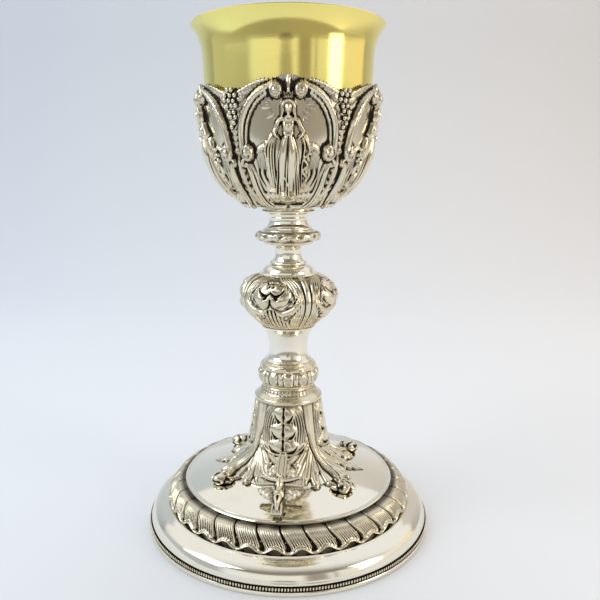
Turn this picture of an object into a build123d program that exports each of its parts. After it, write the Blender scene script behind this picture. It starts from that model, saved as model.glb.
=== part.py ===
"""Communion chalice: a gilt cup in a relief false cup, on a knopped stem and a domed round foot.

Millimetres, +Z up. The origin is the centre of the foot's underside, and the front is -Y.
Every stem piece is a loose turning on one tie rod. The cup's boss screws on to the rod's top end and
the foot nut on to its lower end, and the two clamp the whole stack between them.
"""

import os
from math import hypot

from build123d import *

# ---- driving dimensions -------------------------------------------------------------------------
HEIGHT = 250.0  # lip above the table
FOOT_R = 75.0
LIP_R = 47.0
CUP_R = 41.1  # the cup's straight wall
FLARE_Z = 237.0  # where the wall starts to flare out to the lip
SHEET = 1.0  # wall of the raised and spun silver
CAST = 1.3  # wall of the cast pieces

# heights of the joints in the stack, from the table up
RIM_SEAT_Z = 2.0  # base ring's top
BEAD_TOP_Z = 4.0
BAND_LOW_Z = 13.0
PLATE_LOW_Z = 22.4
TRUMPET_TOP_Z = 66.0
COLLAR_TOP_Z = 73.4
GADROON_TOP_Z = 86.0
BALUSTER_TOP_Z = 105.0
KNOP_SEAM_Z = 119.5
KNOP_TOP_Z = 131.5
CAP_TOP_Z = 138.5
LOWER_NECK_TOP_Z = 147.2
WREATH_TOP_Z = 154.6
UPPER_NECK_TOP_Z = 161.4
CALYX_TOP_Z = 165.7
CUP_FLOOR_Z = 171.5  # underside of the cup
FALSE_CUP_TOP_Z = 220.5

KNOP_R = 25.2  # at its seam

# foot
PLATE_R = 55.1
PLATE_EDGE = 1.2
PLATE_SLOPE = 0.155  # rise of the plate per millimetre towards the axis
PLATE_HOLE_R = 27.0
BAND_R = 63.8

# tie rod and its two ends
ROD_R = 3.0
THREAD_GAP = 0.05  # running clearance of a thread, drawn plain
BORE_R = 3.3  # clearance hole in every stacked piece
ROD_LOW_Z = 47.0
ROD_TOP_Z = 170.5
BOSS_LOW_Z = 162.7
BOSS_FLANGE_Z = 167.9
BOSS_R = 6.5
BOSS_FLANGE_R = 9.0
BOSS_BORE_DEPTH = 8.0
WASHER_GAP = 0.1
NUT_FLATS = 11.0
NUT_H = 5.0
FOOT_WASHER_H = 1.5
BRIDGE_H = 3.0

# crucifix on the front of the foot
FRONT_TURN = -6.0  # the foot was clamped this many degrees off the false cup's front
CROSS_FOOT_R = 54.0  # how far from the axis the cross's lower end stands
CROSS_FOOT_Z = 25.4
CROSS_TOP_R = 23.0
CROSS_TOP_Z = 41.9
CROSS_ARMS = 23.2
CROSS_ARM_AT = 18.4  # from the lower end to the arms
CROSS_BAR = 4.6
CROSS_THICK = 1.8
STUD_R = 0.9
STUD_AT_R = 49.5
STUD_UP = 5.4  # from the plate's face into the cross
STUD_DOWN = 3.6
CROSS_NUT_FLATS = 3.4
CROSS_NUT_H = 1.6


def plate_z(radius):
    """Height of the foot plate's upper face at a radius."""
    return PLATE_LOW_Z + PLATE_EDGE + (PLATE_R - radius) * PLATE_SLOPE


front = Plane.XY.rotated((0, 0, FRONT_TURN))
STUD_PLANE = Plane(
    origin=front.from_local_coords((0, -STUD_AT_R, plate_z(STUD_AT_R))),
    z_dir=front.from_local_coords((0, -PLATE_SLOPE, 1)),
)

# ---- foot ---------------------------------------------------------------------------------------
with BuildPart() as base_ring:
    with BuildSketch(Plane.XZ):
        with Locations(((FOOT_R + 66.5) / 2, RIM_SEAT_Z / 2)):
            Rectangle(FOOT_R - 66.5, RIM_SEAT_Z)
    revolve(axis=Axis.Z)
    fillet(base_ring.edges().filter_by(GeomType.CIRCLE).group_by(SortBy.RADIUS)[-1], 0.35)

with BuildPart() as beaded_wire:
    with BuildSketch(Plane.XZ):
        with Locations((FOOT_R - 1.2, (RIM_SEAT_Z + BEAD_TOP_Z) / 2)):
            Rectangle(1.5, BEAD_TOP_Z - RIM_SEAT_Z)
    revolve(axis=Axis.Z)

with BuildPart() as foot_rim:
    with BuildSketch(Plane.XZ):
        with BuildLine():
            Polyline((72.2, RIM_SEAT_Z), (72.2, 4.3), (73.3, 4.8), (73.3, 5.6))
            Spline((73.3, 5.6), (71.8, 9.4), (68.6, 11.9), (BAND_R, BAND_LOW_Z), tangents=((0, 1), (-1, 0)))
            Polyline((BAND_R, BAND_LOW_Z), (59.5, BAND_LOW_Z), (59.5, BAND_LOW_Z - SHEET))
            Line((59.5, BAND_LOW_Z - SHEET), (BAND_R, BAND_LOW_Z - SHEET))
            Spline(
                (BAND_R, BAND_LOW_Z - SHEET),
                (68.2, 10.9),
                (71.0, 8.7),
                (72.2, 5.6),
                tangents=((1, 0), (0, -1)),
            )
            Polyline((72.2, 5.6), (71.2, 4.6), (71.2, RIM_SEAT_Z), (72.2, RIM_SEAT_Z))
        make_face()
    revolve(axis=Axis.Z)

with BuildPart() as wave_band:
    with BuildSketch(Plane.XZ):
        with BuildLine():
            TangentArc((54.2, PLATE_LOW_Z), (BAND_R, BAND_LOW_Z), tangent=(1, 0))
            Line((54.2, PLATE_LOW_Z), (54.2, PLATE_LOW_Z - CAST))
            TangentArc((54.2, PLATE_LOW_Z - CAST), (BAND_R - CAST, BAND_LOW_Z), tangent=(1, 0))
            Line((BAND_R - CAST, BAND_LOW_Z), (BAND_R, BAND_LOW_Z))
        make_face()
    revolve(axis=Axis.Z)

# The plate is drilled for the cross's stud, which stands square to its slope.
with BuildPart() as foot_plate:
    with BuildSketch(Plane.XZ):
        with BuildLine():
            Polyline(
                (PLATE_R, PLATE_LOW_Z),
                (PLATE_R, plate_z(PLATE_R)),
                (PLATE_HOLE_R, plate_z(PLATE_HOLE_R)),
                (PLATE_HOLE_R, plate_z(PLATE_HOLE_R) - SHEET),
                (PLATE_R - 2.0, plate_z(PLATE_R - 2.0) - SHEET),
                (PLATE_R - 2.0, PLATE_LOW_Z),
                close=True,
            )
        make_face()
    revolve(axis=Axis.Z)
    outer_edges = foot_plate.edges().filter_by(GeomType.CIRCLE).group_by(SortBy.RADIUS)[-1]
    fillet(outer_edges, 0.4)
    with Locations(STUD_PLANE):
        Cylinder(STUD_R + 0.1, 4.0, mode=Mode.SUBTRACT)

# A straight taper that sweeps out into a flange on the plate, and is closed at the top.
TRUMPET_R = 14.4
WAIST_R = 17.2
WAIST_Z = 46.0
FLANGE_R = 31.0
TAPER = (WAIST_R - TRUMPET_R, WAIST_Z - TRUMPET_TOP_Z)
with BuildPart() as foot_trumpet:
    with BuildSketch(Plane.XZ):
        with BuildLine():
            Polyline((BORE_R, TRUMPET_TOP_Z), (TRUMPET_R, TRUMPET_TOP_Z), (WAIST_R, WAIST_Z))
            TangentArc((WAIST_R, WAIST_Z), (FLANGE_R, plate_z(FLANGE_R) + SHEET), tangent=TAPER)
            Line((FLANGE_R, plate_z(FLANGE_R) + SHEET), (FLANGE_R, plate_z(FLANGE_R)))
            Line((FLANGE_R, plate_z(FLANGE_R)), (26.0, plate_z(26.0)))
            TangentArc((WAIST_R - CAST, WAIST_Z), (26.0, plate_z(26.0)), tangent=TAPER)
            Line((WAIST_R - CAST, WAIST_Z), (TRUMPET_R - CAST, TRUMPET_TOP_Z - CAST))
            Line((TRUMPET_R - CAST, TRUMPET_TOP_Z - CAST), (BORE_R, TRUMPET_TOP_Z - CAST))
            Line((BORE_R, TRUMPET_TOP_Z - CAST), (BORE_R, TRUMPET_TOP_Z))
        make_face()
    revolve(axis=Axis.Z)

# The cast leaf sleeve stands on the plate around the trumpet. Its four long leaves curl up at their tips.
SLEEVE_TOP_Z = 64.2
SLEEVE_IN_R = 15.1
SLEEVE_WAIST_IN_R = 17.7
SLEEVE_FOOT_R = 33.6
SLEEVE_TAPER = (SLEEVE_WAIST_IN_R - SLEEVE_IN_R, WAIST_Z - SLEEVE_TOP_Z)
LEAF_TIP_R = 41.0
FOOT_CLEARANCE = 0.05
with BuildPart() as leaf_sleeve:
    with BuildSketch(Plane.XZ):
        with BuildLine():
            Line((SLEEVE_IN_R, SLEEVE_TOP_Z), (SLEEVE_WAIST_IN_R, WAIST_Z))
            TangentArc(
                (SLEEVE_WAIST_IN_R, WAIST_Z),
                (FLANGE_R + 0.4, plate_z(FLANGE_R) + 1.3),
                tangent=SLEEVE_TAPER,
            )
            Polyline(
                (FLANGE_R + 0.4, plate_z(FLANGE_R) + 1.3),
                (FLANGE_R + 0.4, plate_z(FLANGE_R + 0.4) + FOOT_CLEARANCE),
                (SLEEVE_FOOT_R, plate_z(SLEEVE_FOOT_R) + FOOT_CLEARANCE),
                (SLEEVE_FOOT_R, plate_z(SLEEVE_FOOT_R) + CAST),
            )
            TangentArc(
                (SLEEVE_WAIST_IN_R + CAST, WAIST_Z),
                (SLEEVE_FOOT_R, plate_z(SLEEVE_FOOT_R) + CAST),
                tangent=SLEEVE_TAPER,
            )
            Polyline(
                (SLEEVE_WAIST_IN_R + CAST, WAIST_Z),
                (SLEEVE_IN_R + CAST, SLEEVE_TOP_Z),
                (SLEEVE_IN_R, SLEEVE_TOP_Z),
            )
        make_face()
    revolve(axis=Axis.Z)
    with BuildSketch(Plane.XY.offset(plate_z(32.5) + FOOT_CLEARANCE)):
        with PolarLocations(37.0, 4, start_angle=45 + FRONT_TURN):
            Ellipse(4.5, 5.5)
    extrude(amount=1.5)
    with PolarLocations(LEAF_TIP_R, 4, start_angle=45 + FRONT_TURN):
        with Locations((0, 0, plate_z(LEAF_TIP_R) + 2.4)):
            Cylinder(2.2, 9.0, rotation=(90, 0, 0))

# ---- stem: loose turnings bored for the tie rod ----------------------------------------------------
with BuildPart() as drip_collar:
    with BuildSketch(Plane.XZ):
        with BuildLine():
            Polyline((BORE_R, TRUMPET_TOP_Z), (16.9, TRUMPET_TOP_Z), (17.7, 67.2), (17.7, 68.4))
            ThreePointArc((17.7, 68.4), (15.0, 70.2), (13.3, 72.4))
            Polyline((13.3, 72.4), (13.3, COLLAR_TOP_Z), (BORE_R, COLLAR_TOP_Z), (BORE_R, 72.2))
            Polyline((BORE_R, 72.2), (12.0, 72.2), (13.6, 69.6), (15.6, 67.6), (BORE_R, 67.6))
            Line((BORE_R, 67.6), (BORE_R, TRUMPET_TOP_Z))
        make_face()
    revolve(axis=Axis.Z)

with BuildPart() as gadroon_ring:
    with BuildSketch(Plane.XZ):
        with BuildLine():
            Line((BORE_R, COLLAR_TOP_Z), (13.2, COLLAR_TOP_Z))
            ThreePointArc((13.2, COLLAR_TOP_Z), (16.2, 79.4), (13.9, 84.4))
            Polyline((13.9, 84.4), (13.3, GADROON_TOP_Z), (BORE_R, GADROON_TOP_Z), (BORE_R, 84.8))
            Polyline((BORE_R, 84.8), (12.3, 84.8), (12.6, 83.9))
            ThreePointArc((12.6, 83.9), (14.7, 79.4), (12.4, 74.7))
            Polyline((12.4, 74.7), (BORE_R, 74.7), (BORE_R, COLLAR_TOP_Z))
        make_face()
    revolve(axis=Axis.Z)

with BuildPart() as baluster:
    with BuildSketch(Plane.XZ):
        with BuildLine():
            Line((BORE_R, GADROON_TOP_Z), (12.1, GADROON_TOP_Z))
            Spline((12.1, GADROON_TOP_Z), (10.4, 89.4), (10.0, 94.0), (11.1, 99.8), (13.8, BALUSTER_TOP_Z))
            Polyline((13.8, BALUSTER_TOP_Z), (BORE_R, BALUSTER_TOP_Z), (BORE_R, 103.8), (12.0, 103.8))
            Spline((12.0, 103.8), (10.0, 99.8), (9.0, 94.0), (9.4, 89.4), (10.6, 87.2))
            Polyline((10.6, 87.2), (BORE_R, 87.2), (BORE_R, GADROON_TOP_Z))
        make_face()
    revolve(axis=Axis.Z)

with BuildPart() as knop_lower_half:
    with BuildSketch(Plane.XZ):
        with BuildLine():
            Spline(
                (13.8, BALUSTER_TOP_Z),
                (16.8, 107.8),
                (22.8, 112.8),
                (KNOP_R, KNOP_SEAM_Z),
                tangents=((1, 0.9), (0, 1)),
            )
            Line((KNOP_R, KNOP_SEAM_Z), (KNOP_R - SHEET, KNOP_SEAM_Z))
            Spline(
                (KNOP_R - SHEET, KNOP_SEAM_Z),
                (21.9, 113.4),
                (16.1, 108.6),
                (12.4, BALUSTER_TOP_Z),
                tangents=((0, -1), (-1, -0.9)),
            )
            Line((12.4, BALUSTER_TOP_Z), (13.8, BALUSTER_TOP_Z))
        make_face()
    revolve(axis=Axis.Z)

with BuildPart() as knop_upper_half:
    with BuildSketch(Plane.XZ):
        with BuildLine():
            Spline(
                (KNOP_R, KNOP_SEAM_Z),
                (23.5, 126.1),
                (18.6, 130.1),
                (14.0, KNOP_TOP_Z),
                tangents=((0, 1), (-1, 0.1)),
            )
            Line((14.0, KNOP_TOP_Z), (6.2, KNOP_TOP_Z))
            Line((6.2, KNOP_TOP_Z), (6.2, KNOP_TOP_Z - SHEET))
            Line((6.2, KNOP_TOP_Z - SHEET), (14.0, KNOP_TOP_Z - SHEET))
            Spline(
                (14.0, KNOP_TOP_Z - SHEET),
                (18.0, 129.2),
                (22.6, 125.6),
                (KNOP_R - SHEET, KNOP_SEAM_Z),
                tangents=((1, -0.1), (0, -1)),
            )
            Line((KNOP_R - SHEET, KNOP_SEAM_Z), (KNOP_R, KNOP_SEAM_Z))
        make_face()
    revolve(axis=Axis.Z)

# The liner carries the clamping load through the thin knop.
with BuildPart() as knop_liner:
    with Locations((0, 0, BALUSTER_TOP_Z)):
        Cylinder(9.0, KNOP_TOP_Z - SHEET - BALUSTER_TOP_Z, align=(Align.CENTER, Align.CENTER, Align.MIN))
        Hole(BORE_R)
        with Locations((0, 0, (KNOP_TOP_Z - BALUSTER_TOP_Z) / 2)):
            CounterBoreHole(BORE_R, 7.8, 0.1)

with BuildPart() as knop_cap:
    with BuildSketch(Plane.XZ):
        with BuildLine():
            Polyline((BORE_R, KNOP_TOP_Z), (14.2, KNOP_TOP_Z), (14.2, 132.6), (12.9, 133.1))
            ThreePointArc((12.9, 133.1), (11.7, 135.2), (9.0, 136.9))
            ThreePointArc((9.0, 136.9), (9.7, 137.7), (9.0, CAP_TOP_Z))
            Polyline((9.0, CAP_TOP_Z), (BORE_R, CAP_TOP_Z), (BORE_R, KNOP_TOP_Z))
        make_face()
    revolve(axis=Axis.Z)

with BuildPart() as lower_neck:
    with BuildSketch(Plane.XZ):
        with BuildLine():
            Polyline((BORE_R, CAP_TOP_Z), (7.8, CAP_TOP_Z))
            ThreePointArc((7.8, CAP_TOP_Z), (6.8, 142.4), (8.6, 146.4))
            Polyline((8.6, 146.4), (9.6, LOWER_NECK_TOP_Z), (BORE_R, LOWER_NECK_TOP_Z), (BORE_R, CAP_TOP_Z))
        make_face()
    revolve(axis=Axis.Z)

with BuildPart() as wreath_collar:
    with BuildSketch(Plane.XZ):
        with BuildLine():
            Polyline((BORE_R, LOWER_NECK_TOP_Z), (12.0, LOWER_NECK_TOP_Z), (13.2, 148.2))
            ThreePointArc((13.2, 148.2), (16.7, 151.6), (13.6, 153.8))
            Polyline((13.6, 153.8), (12.8, WREATH_TOP_Z), (BORE_R, WREATH_TOP_Z), (BORE_R, LOWER_NECK_TOP_Z))
        make_face()
    revolve(axis=Axis.Z)

with BuildPart() as upper_neck:
    with BuildSketch(Plane.XZ):
        with BuildLine():
            Polyline((BORE_R, WREATH_TOP_Z), (11.9, WREATH_TOP_Z), (11.6, 155.6))
            ThreePointArc((11.6, 155.6), (9.8, 158.6), (10.5, 160.6))
            Polyline((10.5, 160.6), (11.0, UPPER_NECK_TOP_Z), (BORE_R, UPPER_NECK_TOP_Z))
            Line((BORE_R, UPPER_NECK_TOP_Z), (BORE_R, WREATH_TOP_Z))
        make_face()
    revolve(axis=Axis.Z)

with BuildPart() as calyx_ring:
    with BuildSketch(Plane.XZ):
        with BuildLine():
            Polyline(
                (BOSS_R + 0.2, UPPER_NECK_TOP_Z),
                (11.4, UPPER_NECK_TOP_Z),
                (12.2, 163.2),
                (12.9, 163.2),
                (13.9, CALYX_TOP_Z),
                (BOSS_R + 0.2, CALYX_TOP_Z),
                close=True,
            )
        make_face()
    revolve(axis=Axis.Z)

# ---- cup and false cup ---------------------------------------------------------------------------
with BuildPart() as false_cup:
    with BuildSketch(Plane.XZ):
        with BuildLine():
            Line((BOSS_R + 0.5, CALYX_TOP_Z), (15.0, CALYX_TOP_Z))
            Spline(
                (15.0, CALYX_TOP_Z),
                (24.2, 169.0),
                (35.0, 182.4),
                (39.6, 196.0),
                (42.0, 210.0),
                (43.4, FALSE_CUP_TOP_Z),
                tangents=((1, 0), (0.1, 1)),
            )
            Line((43.4, FALSE_CUP_TOP_Z), (42.4, FALSE_CUP_TOP_Z))
            Spline(
                (42.4, FALSE_CUP_TOP_Z),
                (41.0, 210.1),
                (38.6, 196.3),
                (34.1, 183.0),
                (23.8, 170.1),
                (15.0, CALYX_TOP_Z + SHEET),
                tangents=((-0.1, -1), (-1, 0)),
            )
            Line((15.0, CALYX_TOP_Z + SHEET), (BOSS_R + 0.5, CALYX_TOP_Z + SHEET))
            Line((BOSS_R + 0.5, CALYX_TOP_Z + SHEET), (BOSS_R + 0.5, CALYX_TOP_Z))
        make_face()
    revolve(axis=Axis.Z)

with BuildPart() as cup:
    with BuildSketch(Plane.XZ):
        with BuildLine():
            Line((0, CUP_FLOOR_Z), (14.0, CUP_FLOOR_Z))
            Spline(
                (14.0, CUP_FLOOR_Z),
                (25.5, 175.6),
                (34.0, 185.5),
                (38.6, 203.0),
                (CUP_R, FLARE_Z),
                tangents=((1, 0), (0, 1)),
            )
            TangentArc((CUP_R, FLARE_Z), (LIP_R, HEIGHT), tangent=(0, 1))
            Line((LIP_R, HEIGHT), (LIP_R - SHEET, HEIGHT))
            TangentArc((CUP_R - SHEET, FLARE_Z), (LIP_R - SHEET, HEIGHT), tangent=(0, 1))
            Spline(
                (CUP_R - SHEET, FLARE_Z),
                (37.6, 203.2),
                (33.1, 186.0),
                (25.0, 176.5),
                (14.0, CUP_FLOOR_Z + SHEET),
                tangents=((0, -1), (-1, 0)),
            )
            Polyline((14.0, CUP_FLOOR_Z + SHEET), (0, CUP_FLOOR_Z + SHEET), (0, CUP_FLOOR_Z))
        make_face()
    revolve(axis=Axis.Z)
    fillet(cup.edges().group_by(Axis.Z)[-1], 0.3)

with BuildPart() as cup_boss:
    with Locations((0, 0, BOSS_LOW_Z)):
        Cylinder(BOSS_R, CUP_FLOOR_Z - BOSS_LOW_Z, align=(Align.CENTER, Align.CENTER, Align.MIN))
    with Locations((0, 0, BOSS_FLANGE_Z)):
        Cylinder(BOSS_FLANGE_R, CUP_FLOOR_Z - BOSS_FLANGE_Z, align=(Align.CENTER, Align.CENTER, Align.MIN))
    with Locations((0, 0, BOSS_LOW_Z)):
        Cylinder(
            ROD_R + THREAD_GAP,
            BOSS_BORE_DEPTH,
            align=(Align.CENTER, Align.CENTER, Align.MIN),
            mode=Mode.SUBTRACT,
        )

with BuildPart() as boss_washer:
    with BuildSketch(Plane.XY.offset(CALYX_TOP_Z + SHEET)):
        Circle(BOSS_FLANGE_R)
        Circle(BOSS_R + WASHER_GAP, mode=Mode.SUBTRACT)
    extrude(amount=BOSS_FLANGE_Z - CALYX_TOP_Z - SHEET)

# ---- tie rod, bridge, washer and nut ----------------------------------------------------------------
with BuildPart() as tie_rod:
    with Locations((0, 0, ROD_LOW_Z)):
        Cylinder(ROD_R, ROD_TOP_Z - ROD_LOW_Z, align=(Align.CENTER, Align.CENTER, Align.MIN))
    chamfer(tie_rod.edges().filter_by(GeomType.CIRCLE), 0.5)

BRIDGE_TOP_Z = TRUMPET_TOP_Z - CAST  # underside of the trumpet's closed top
with BuildPart() as clamp_bridge:
    with BuildSketch(Plane.XY.offset(BRIDGE_TOP_Z)):
        Circle(12.8)
        Circle(BORE_R, mode=Mode.SUBTRACT)
    extrude(amount=-BRIDGE_H)

FOOT_WASHER_TOP_Z = BRIDGE_TOP_Z - BRIDGE_H
with BuildPart() as foot_washer:
    with BuildSketch(Plane.XY.offset(FOOT_WASHER_TOP_Z)):
        Circle(8.0)
        Circle(BORE_R, mode=Mode.SUBTRACT)
    extrude(amount=-FOOT_WASHER_H)

NUT_TOP_Z = FOOT_WASHER_TOP_Z - FOOT_WASHER_H
with BuildPart() as foot_nut:
    with BuildSketch(Plane.XY.offset(NUT_TOP_Z)):
        RegularPolygon(NUT_FLATS / 2, 6, major_radius=False)
        Circle(ROD_R + THREAD_GAP, mode=Mode.SUBTRACT)
    extrude(amount=-NUT_H)
    chamfer(foot_nut.edges().filter_by(GeomType.CIRCLE), 0.25)

# ---- crucifix: drawn flat on a plane that leans from the plate's edge up to the leaves ------------------
LEAN_X = CROSS_FOOT_R - CROSS_TOP_R
LEAN_Z = CROSS_TOP_Z - CROSS_FOOT_Z
CROSS_LENGTH = hypot(LEAN_X, LEAN_Z)
CROSS_PLANE = Plane(
    origin=front.from_local_coords((0, -CROSS_FOOT_R, CROSS_FOOT_Z)),
    x_dir=front.x_dir,
    z_dir=front.from_local_coords((0, -LEAN_Z, LEAN_X)),
)
CROSS_LIFT = 1.2  # the foliage lies between the plate and the cross

with BuildPart() as cross:
    with BuildSketch(CROSS_PLANE.offset(CROSS_LIFT)):
        with Locations((0, CROSS_LENGTH / 2)):
            Rectangle(CROSS_BAR, CROSS_LENGTH)
        with Locations((0, CROSS_ARM_AT)):
            Rectangle(CROSS_ARMS, CROSS_BAR)
    extrude(amount=CROSS_THICK)
    with BuildSketch(STUD_PLANE.offset(-STUD_DOWN)):
        Circle(STUD_R)
    extrude(amount=STUD_DOWN + STUD_UP)

with BuildPart() as cross_nut:
    with BuildSketch(STUD_PLANE.offset(-SHEET)):
        RegularPolygon(CROSS_NUT_FLATS / 2, 6, major_radius=False)
        Circle(STUD_R + THREAD_GAP, mode=Mode.SUBTRACT)
    extrude(amount=-CROSS_NUT_H)

# Four vine leaves fill the corners of the cross.
with BuildPart() as cross_foliage:
    with BuildSketch(CROSS_PLANE):
        for side in (-1, 1):
            with Locations((side * 5.6, CROSS_ARM_AT - 5.2), (side * 4.8, CROSS_ARM_AT + 5.4)):
                Ellipse(4.4, 3.4)
        with Locations((0, CROSS_ARM_AT)):
            Rectangle(CROSS_BAR, 2 * CROSS_BAR)
    extrude(amount=CROSS_LIFT)

FIGURE_LIFT = CROSS_LIFT + CROSS_THICK
with BuildPart() as corpus:
    with BuildSketch(CROSS_PLANE.offset(FIGURE_LIFT)):
        with Locations((0, CROSS_ARM_AT - 7.0)):
            SlotOverall(15.5, 2.8, rotation=90)
        with Locations((0, CROSS_ARM_AT + 0.4)):
            SlotOverall(17.5, 1.5)
    extrude(amount=1.5)
    with Locations(CROSS_PLANE.offset(FIGURE_LIFT + 1.3)):
        with Locations((0, CROSS_ARM_AT + 2.4)):
            Sphere(1.5)
    split(bisect_by=CROSS_PLANE.offset(FIGURE_LIFT), keep=Keep.TOP)

PIECES = {
    "base_ring": base_ring,
    "beaded_wire": beaded_wire,
    "foot_rim": foot_rim,
    "wave_band": wave_band,
    "foot_plate": foot_plate,
    "foot_trumpet": foot_trumpet,
    "leaf_sleeve": leaf_sleeve,
    "drip_collar": drip_collar,
    "gadroon_ring": gadroon_ring,
    "baluster": baluster,
    "knop_lower_half": knop_lower_half,
    "knop_upper_half": knop_upper_half,
    "knop_liner": knop_liner,
    "knop_cap": knop_cap,
    "lower_neck": lower_neck,
    "wreath_collar": wreath_collar,
    "upper_neck": upper_neck,
    "calyx_ring": calyx_ring,
    "false_cup": false_cup,
    "cup": cup,
    "cup_boss": cup_boss,
    "boss_washer": boss_washer,
    "tie_rod": tie_rod,
    "clamp_bridge": clamp_bridge,
    "foot_washer": foot_washer,
    "foot_nut": foot_nut,
    "cross": cross,
    "cross_nut": cross_nut,
    "cross_foliage": cross_foliage,
    "corpus": corpus,
}

os.makedirs("parts", exist_ok=True)
for name, piece in PIECES.items():
    piece.part.label = name
    export_step(piece.part, f"parts/{name}.step")
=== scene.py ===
import math

import bpy
import numpy as np
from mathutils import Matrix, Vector


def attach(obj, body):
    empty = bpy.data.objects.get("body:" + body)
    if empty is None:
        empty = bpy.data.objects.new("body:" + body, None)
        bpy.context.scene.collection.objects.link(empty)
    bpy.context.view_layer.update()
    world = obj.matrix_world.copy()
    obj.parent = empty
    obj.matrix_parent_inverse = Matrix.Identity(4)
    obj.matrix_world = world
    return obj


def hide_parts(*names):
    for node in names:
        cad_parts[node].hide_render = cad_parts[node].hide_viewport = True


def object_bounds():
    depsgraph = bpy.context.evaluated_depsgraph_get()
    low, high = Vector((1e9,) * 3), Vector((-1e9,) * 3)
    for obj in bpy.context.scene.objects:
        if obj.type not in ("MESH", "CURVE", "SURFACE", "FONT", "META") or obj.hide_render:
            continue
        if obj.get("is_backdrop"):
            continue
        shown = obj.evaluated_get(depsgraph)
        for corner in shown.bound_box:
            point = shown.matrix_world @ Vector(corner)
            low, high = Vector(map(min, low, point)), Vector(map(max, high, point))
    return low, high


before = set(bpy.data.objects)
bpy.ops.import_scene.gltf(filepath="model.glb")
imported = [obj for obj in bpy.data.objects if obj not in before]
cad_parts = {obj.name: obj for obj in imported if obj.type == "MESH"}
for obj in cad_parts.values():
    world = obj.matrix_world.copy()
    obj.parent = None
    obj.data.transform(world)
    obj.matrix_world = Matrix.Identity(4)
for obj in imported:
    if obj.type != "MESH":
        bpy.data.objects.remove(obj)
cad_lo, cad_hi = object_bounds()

MM = 0.001
FRONT_TURN = -6.0  # degrees the foot is clamped off the false cup's front
SLEEVE_SLIP = -2.0  # and the leaf sleeve off the foot's own front
SLEEVE_TURN = FRONT_TURN + SLEEVE_SLIP
rng = np.random.default_rng(11)
DETAIL = 1.0


# ---- meshes -------------------------------------------------------------------------------------
def make_object(name, verts, faces, mat, attrs=None, sharp=None):
    """A smooth-shaded mesh object from points in millimetres; attrs are one float per vertex."""
    me = bpy.data.meshes.new(name)
    verts = np.asarray(verts, np.float32).reshape(-1, 3) * MM
    faces = np.asarray(faces, np.int32)
    k = faces.shape[1]
    me.vertices.add(len(verts))
    me.vertices.foreach_set("co", verts.ravel())
    me.loops.add(faces.size)
    me.loops.foreach_set("vertex_index", faces.ravel())
    me.polygons.add(len(faces))
    me.polygons.foreach_set("loop_start", np.arange(len(faces), dtype=np.int32) * k)
    me.polygons.foreach_set("use_smooth", np.ones(len(faces), bool))
    for key, value in (attrs or {}).items():
        at = me.attributes.new(key, "FLOAT", "POINT")
        at.data.foreach_set("value", np.asarray(value, np.float32).ravel())
    me.update(calc_edges=True)
    me.validate()
    if sharp:
        me.set_sharp_from_angle(angle=math.radians(sharp))
    me.materials.append(mat)
    ob = bpy.data.objects.new(name, me)
    bpy.context.scene.collection.objects.link(ob)
    return ob


def grid_faces(nu, nv, close_u=False, close_v=False, start=0):
    i = np.arange(nu if close_u else nu - 1)[:, None]
    j = np.arange(nv if close_v else nv - 1)[None, :]
    i2, j2 = (i + 1) % nu, (j + 1) % nv
    quads = np.stack([i * nv + j, i2 * nv + j, i2 * nv + j2, i * nv + j2], -1)
    return quads.reshape(-1, 4) + start


def spin(r, z, turn):
    """Points of a profile swept round the axis: turn is in degrees from the front, -Y, towards +X."""
    a = np.radians(turn)[:, None]
    return np.stack([r * np.sin(a), -r * np.cos(a), np.broadcast_to(z, (len(turn), len(r)))], -1)


def turn_grid(grid, degrees):
    """Turns a grid of points or directions about Z, in place."""
    a = math.radians(degrees)
    x, y = grid[..., 0].copy(), grid[..., 1].copy()
    grid[..., 0], grid[..., 1] = x * math.cos(a) - y * math.sin(a), x * math.sin(a) + y * math.cos(a)


def smooth_path(ctrl, n=10):
    """A curve through control rows, as many columns as they have."""
    c = np.asarray(ctrl, float)
    if len(c) == 2:
        t = np.linspace(0, 1, n + 1)[:, None]
        return c[0] * (1 - t) + c[1] * t
    pad = np.vstack([2 * c[0] - c[1], c, 2 * c[-1] - c[-2]])
    out = []
    t = np.linspace(0, 1, n, endpoint=False)[:, None]
    for p0, p1, p2, p3 in zip(pad, pad[1:], pad[2:], pad[3:]):
        out.append(
            0.5 * (
                2 * p1 + (p2 - p0) * t + (2 * p0 - 5 * p1 + 4 * p2 - p3) * t**2 + (3 * p1 - p0 - 3 * p2 + p3) * t**3
            )
        )
    out.append(c[-1:])
    return np.vstack(out)


def profile(*runs, step=0.5):
    """(r, z) rows along a turned piece.

    Each run goes on from the last one's end, straight to one point or curving through more."""
    rows, end = [], []
    for run in runs:
        run = end + run
        end = run[-1:]
        pts = smooth_path(run, 24)
        length = np.concatenate([[0], np.cumsum(np.linalg.norm(np.diff(pts, axis=0), axis=1))])
        n = max(2, int(length[-1] / step) + 1) if len(run) > 2 else 2
        at = np.linspace(0, length[-1], n)
        pts = np.stack([np.interp(at, length, pts[:, k]) for k in (0, 1)], -1)
        rows.append(pts[1:] if rows else pts)
    return np.vstack(rows)


def lathe(name, rows, mat, segs=240, sharp=32):
    """A closed ring turned from a closed outline of (r, z) rows, given anticlockwise."""
    turn = np.arange(segs) * 360 / segs
    pts = spin(rows[:, 0], rows[:, 1], turn)
    return make_object(name, pts, grid_faces(segs, len(rows), True, True), mat, sharp=sharp)


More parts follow.
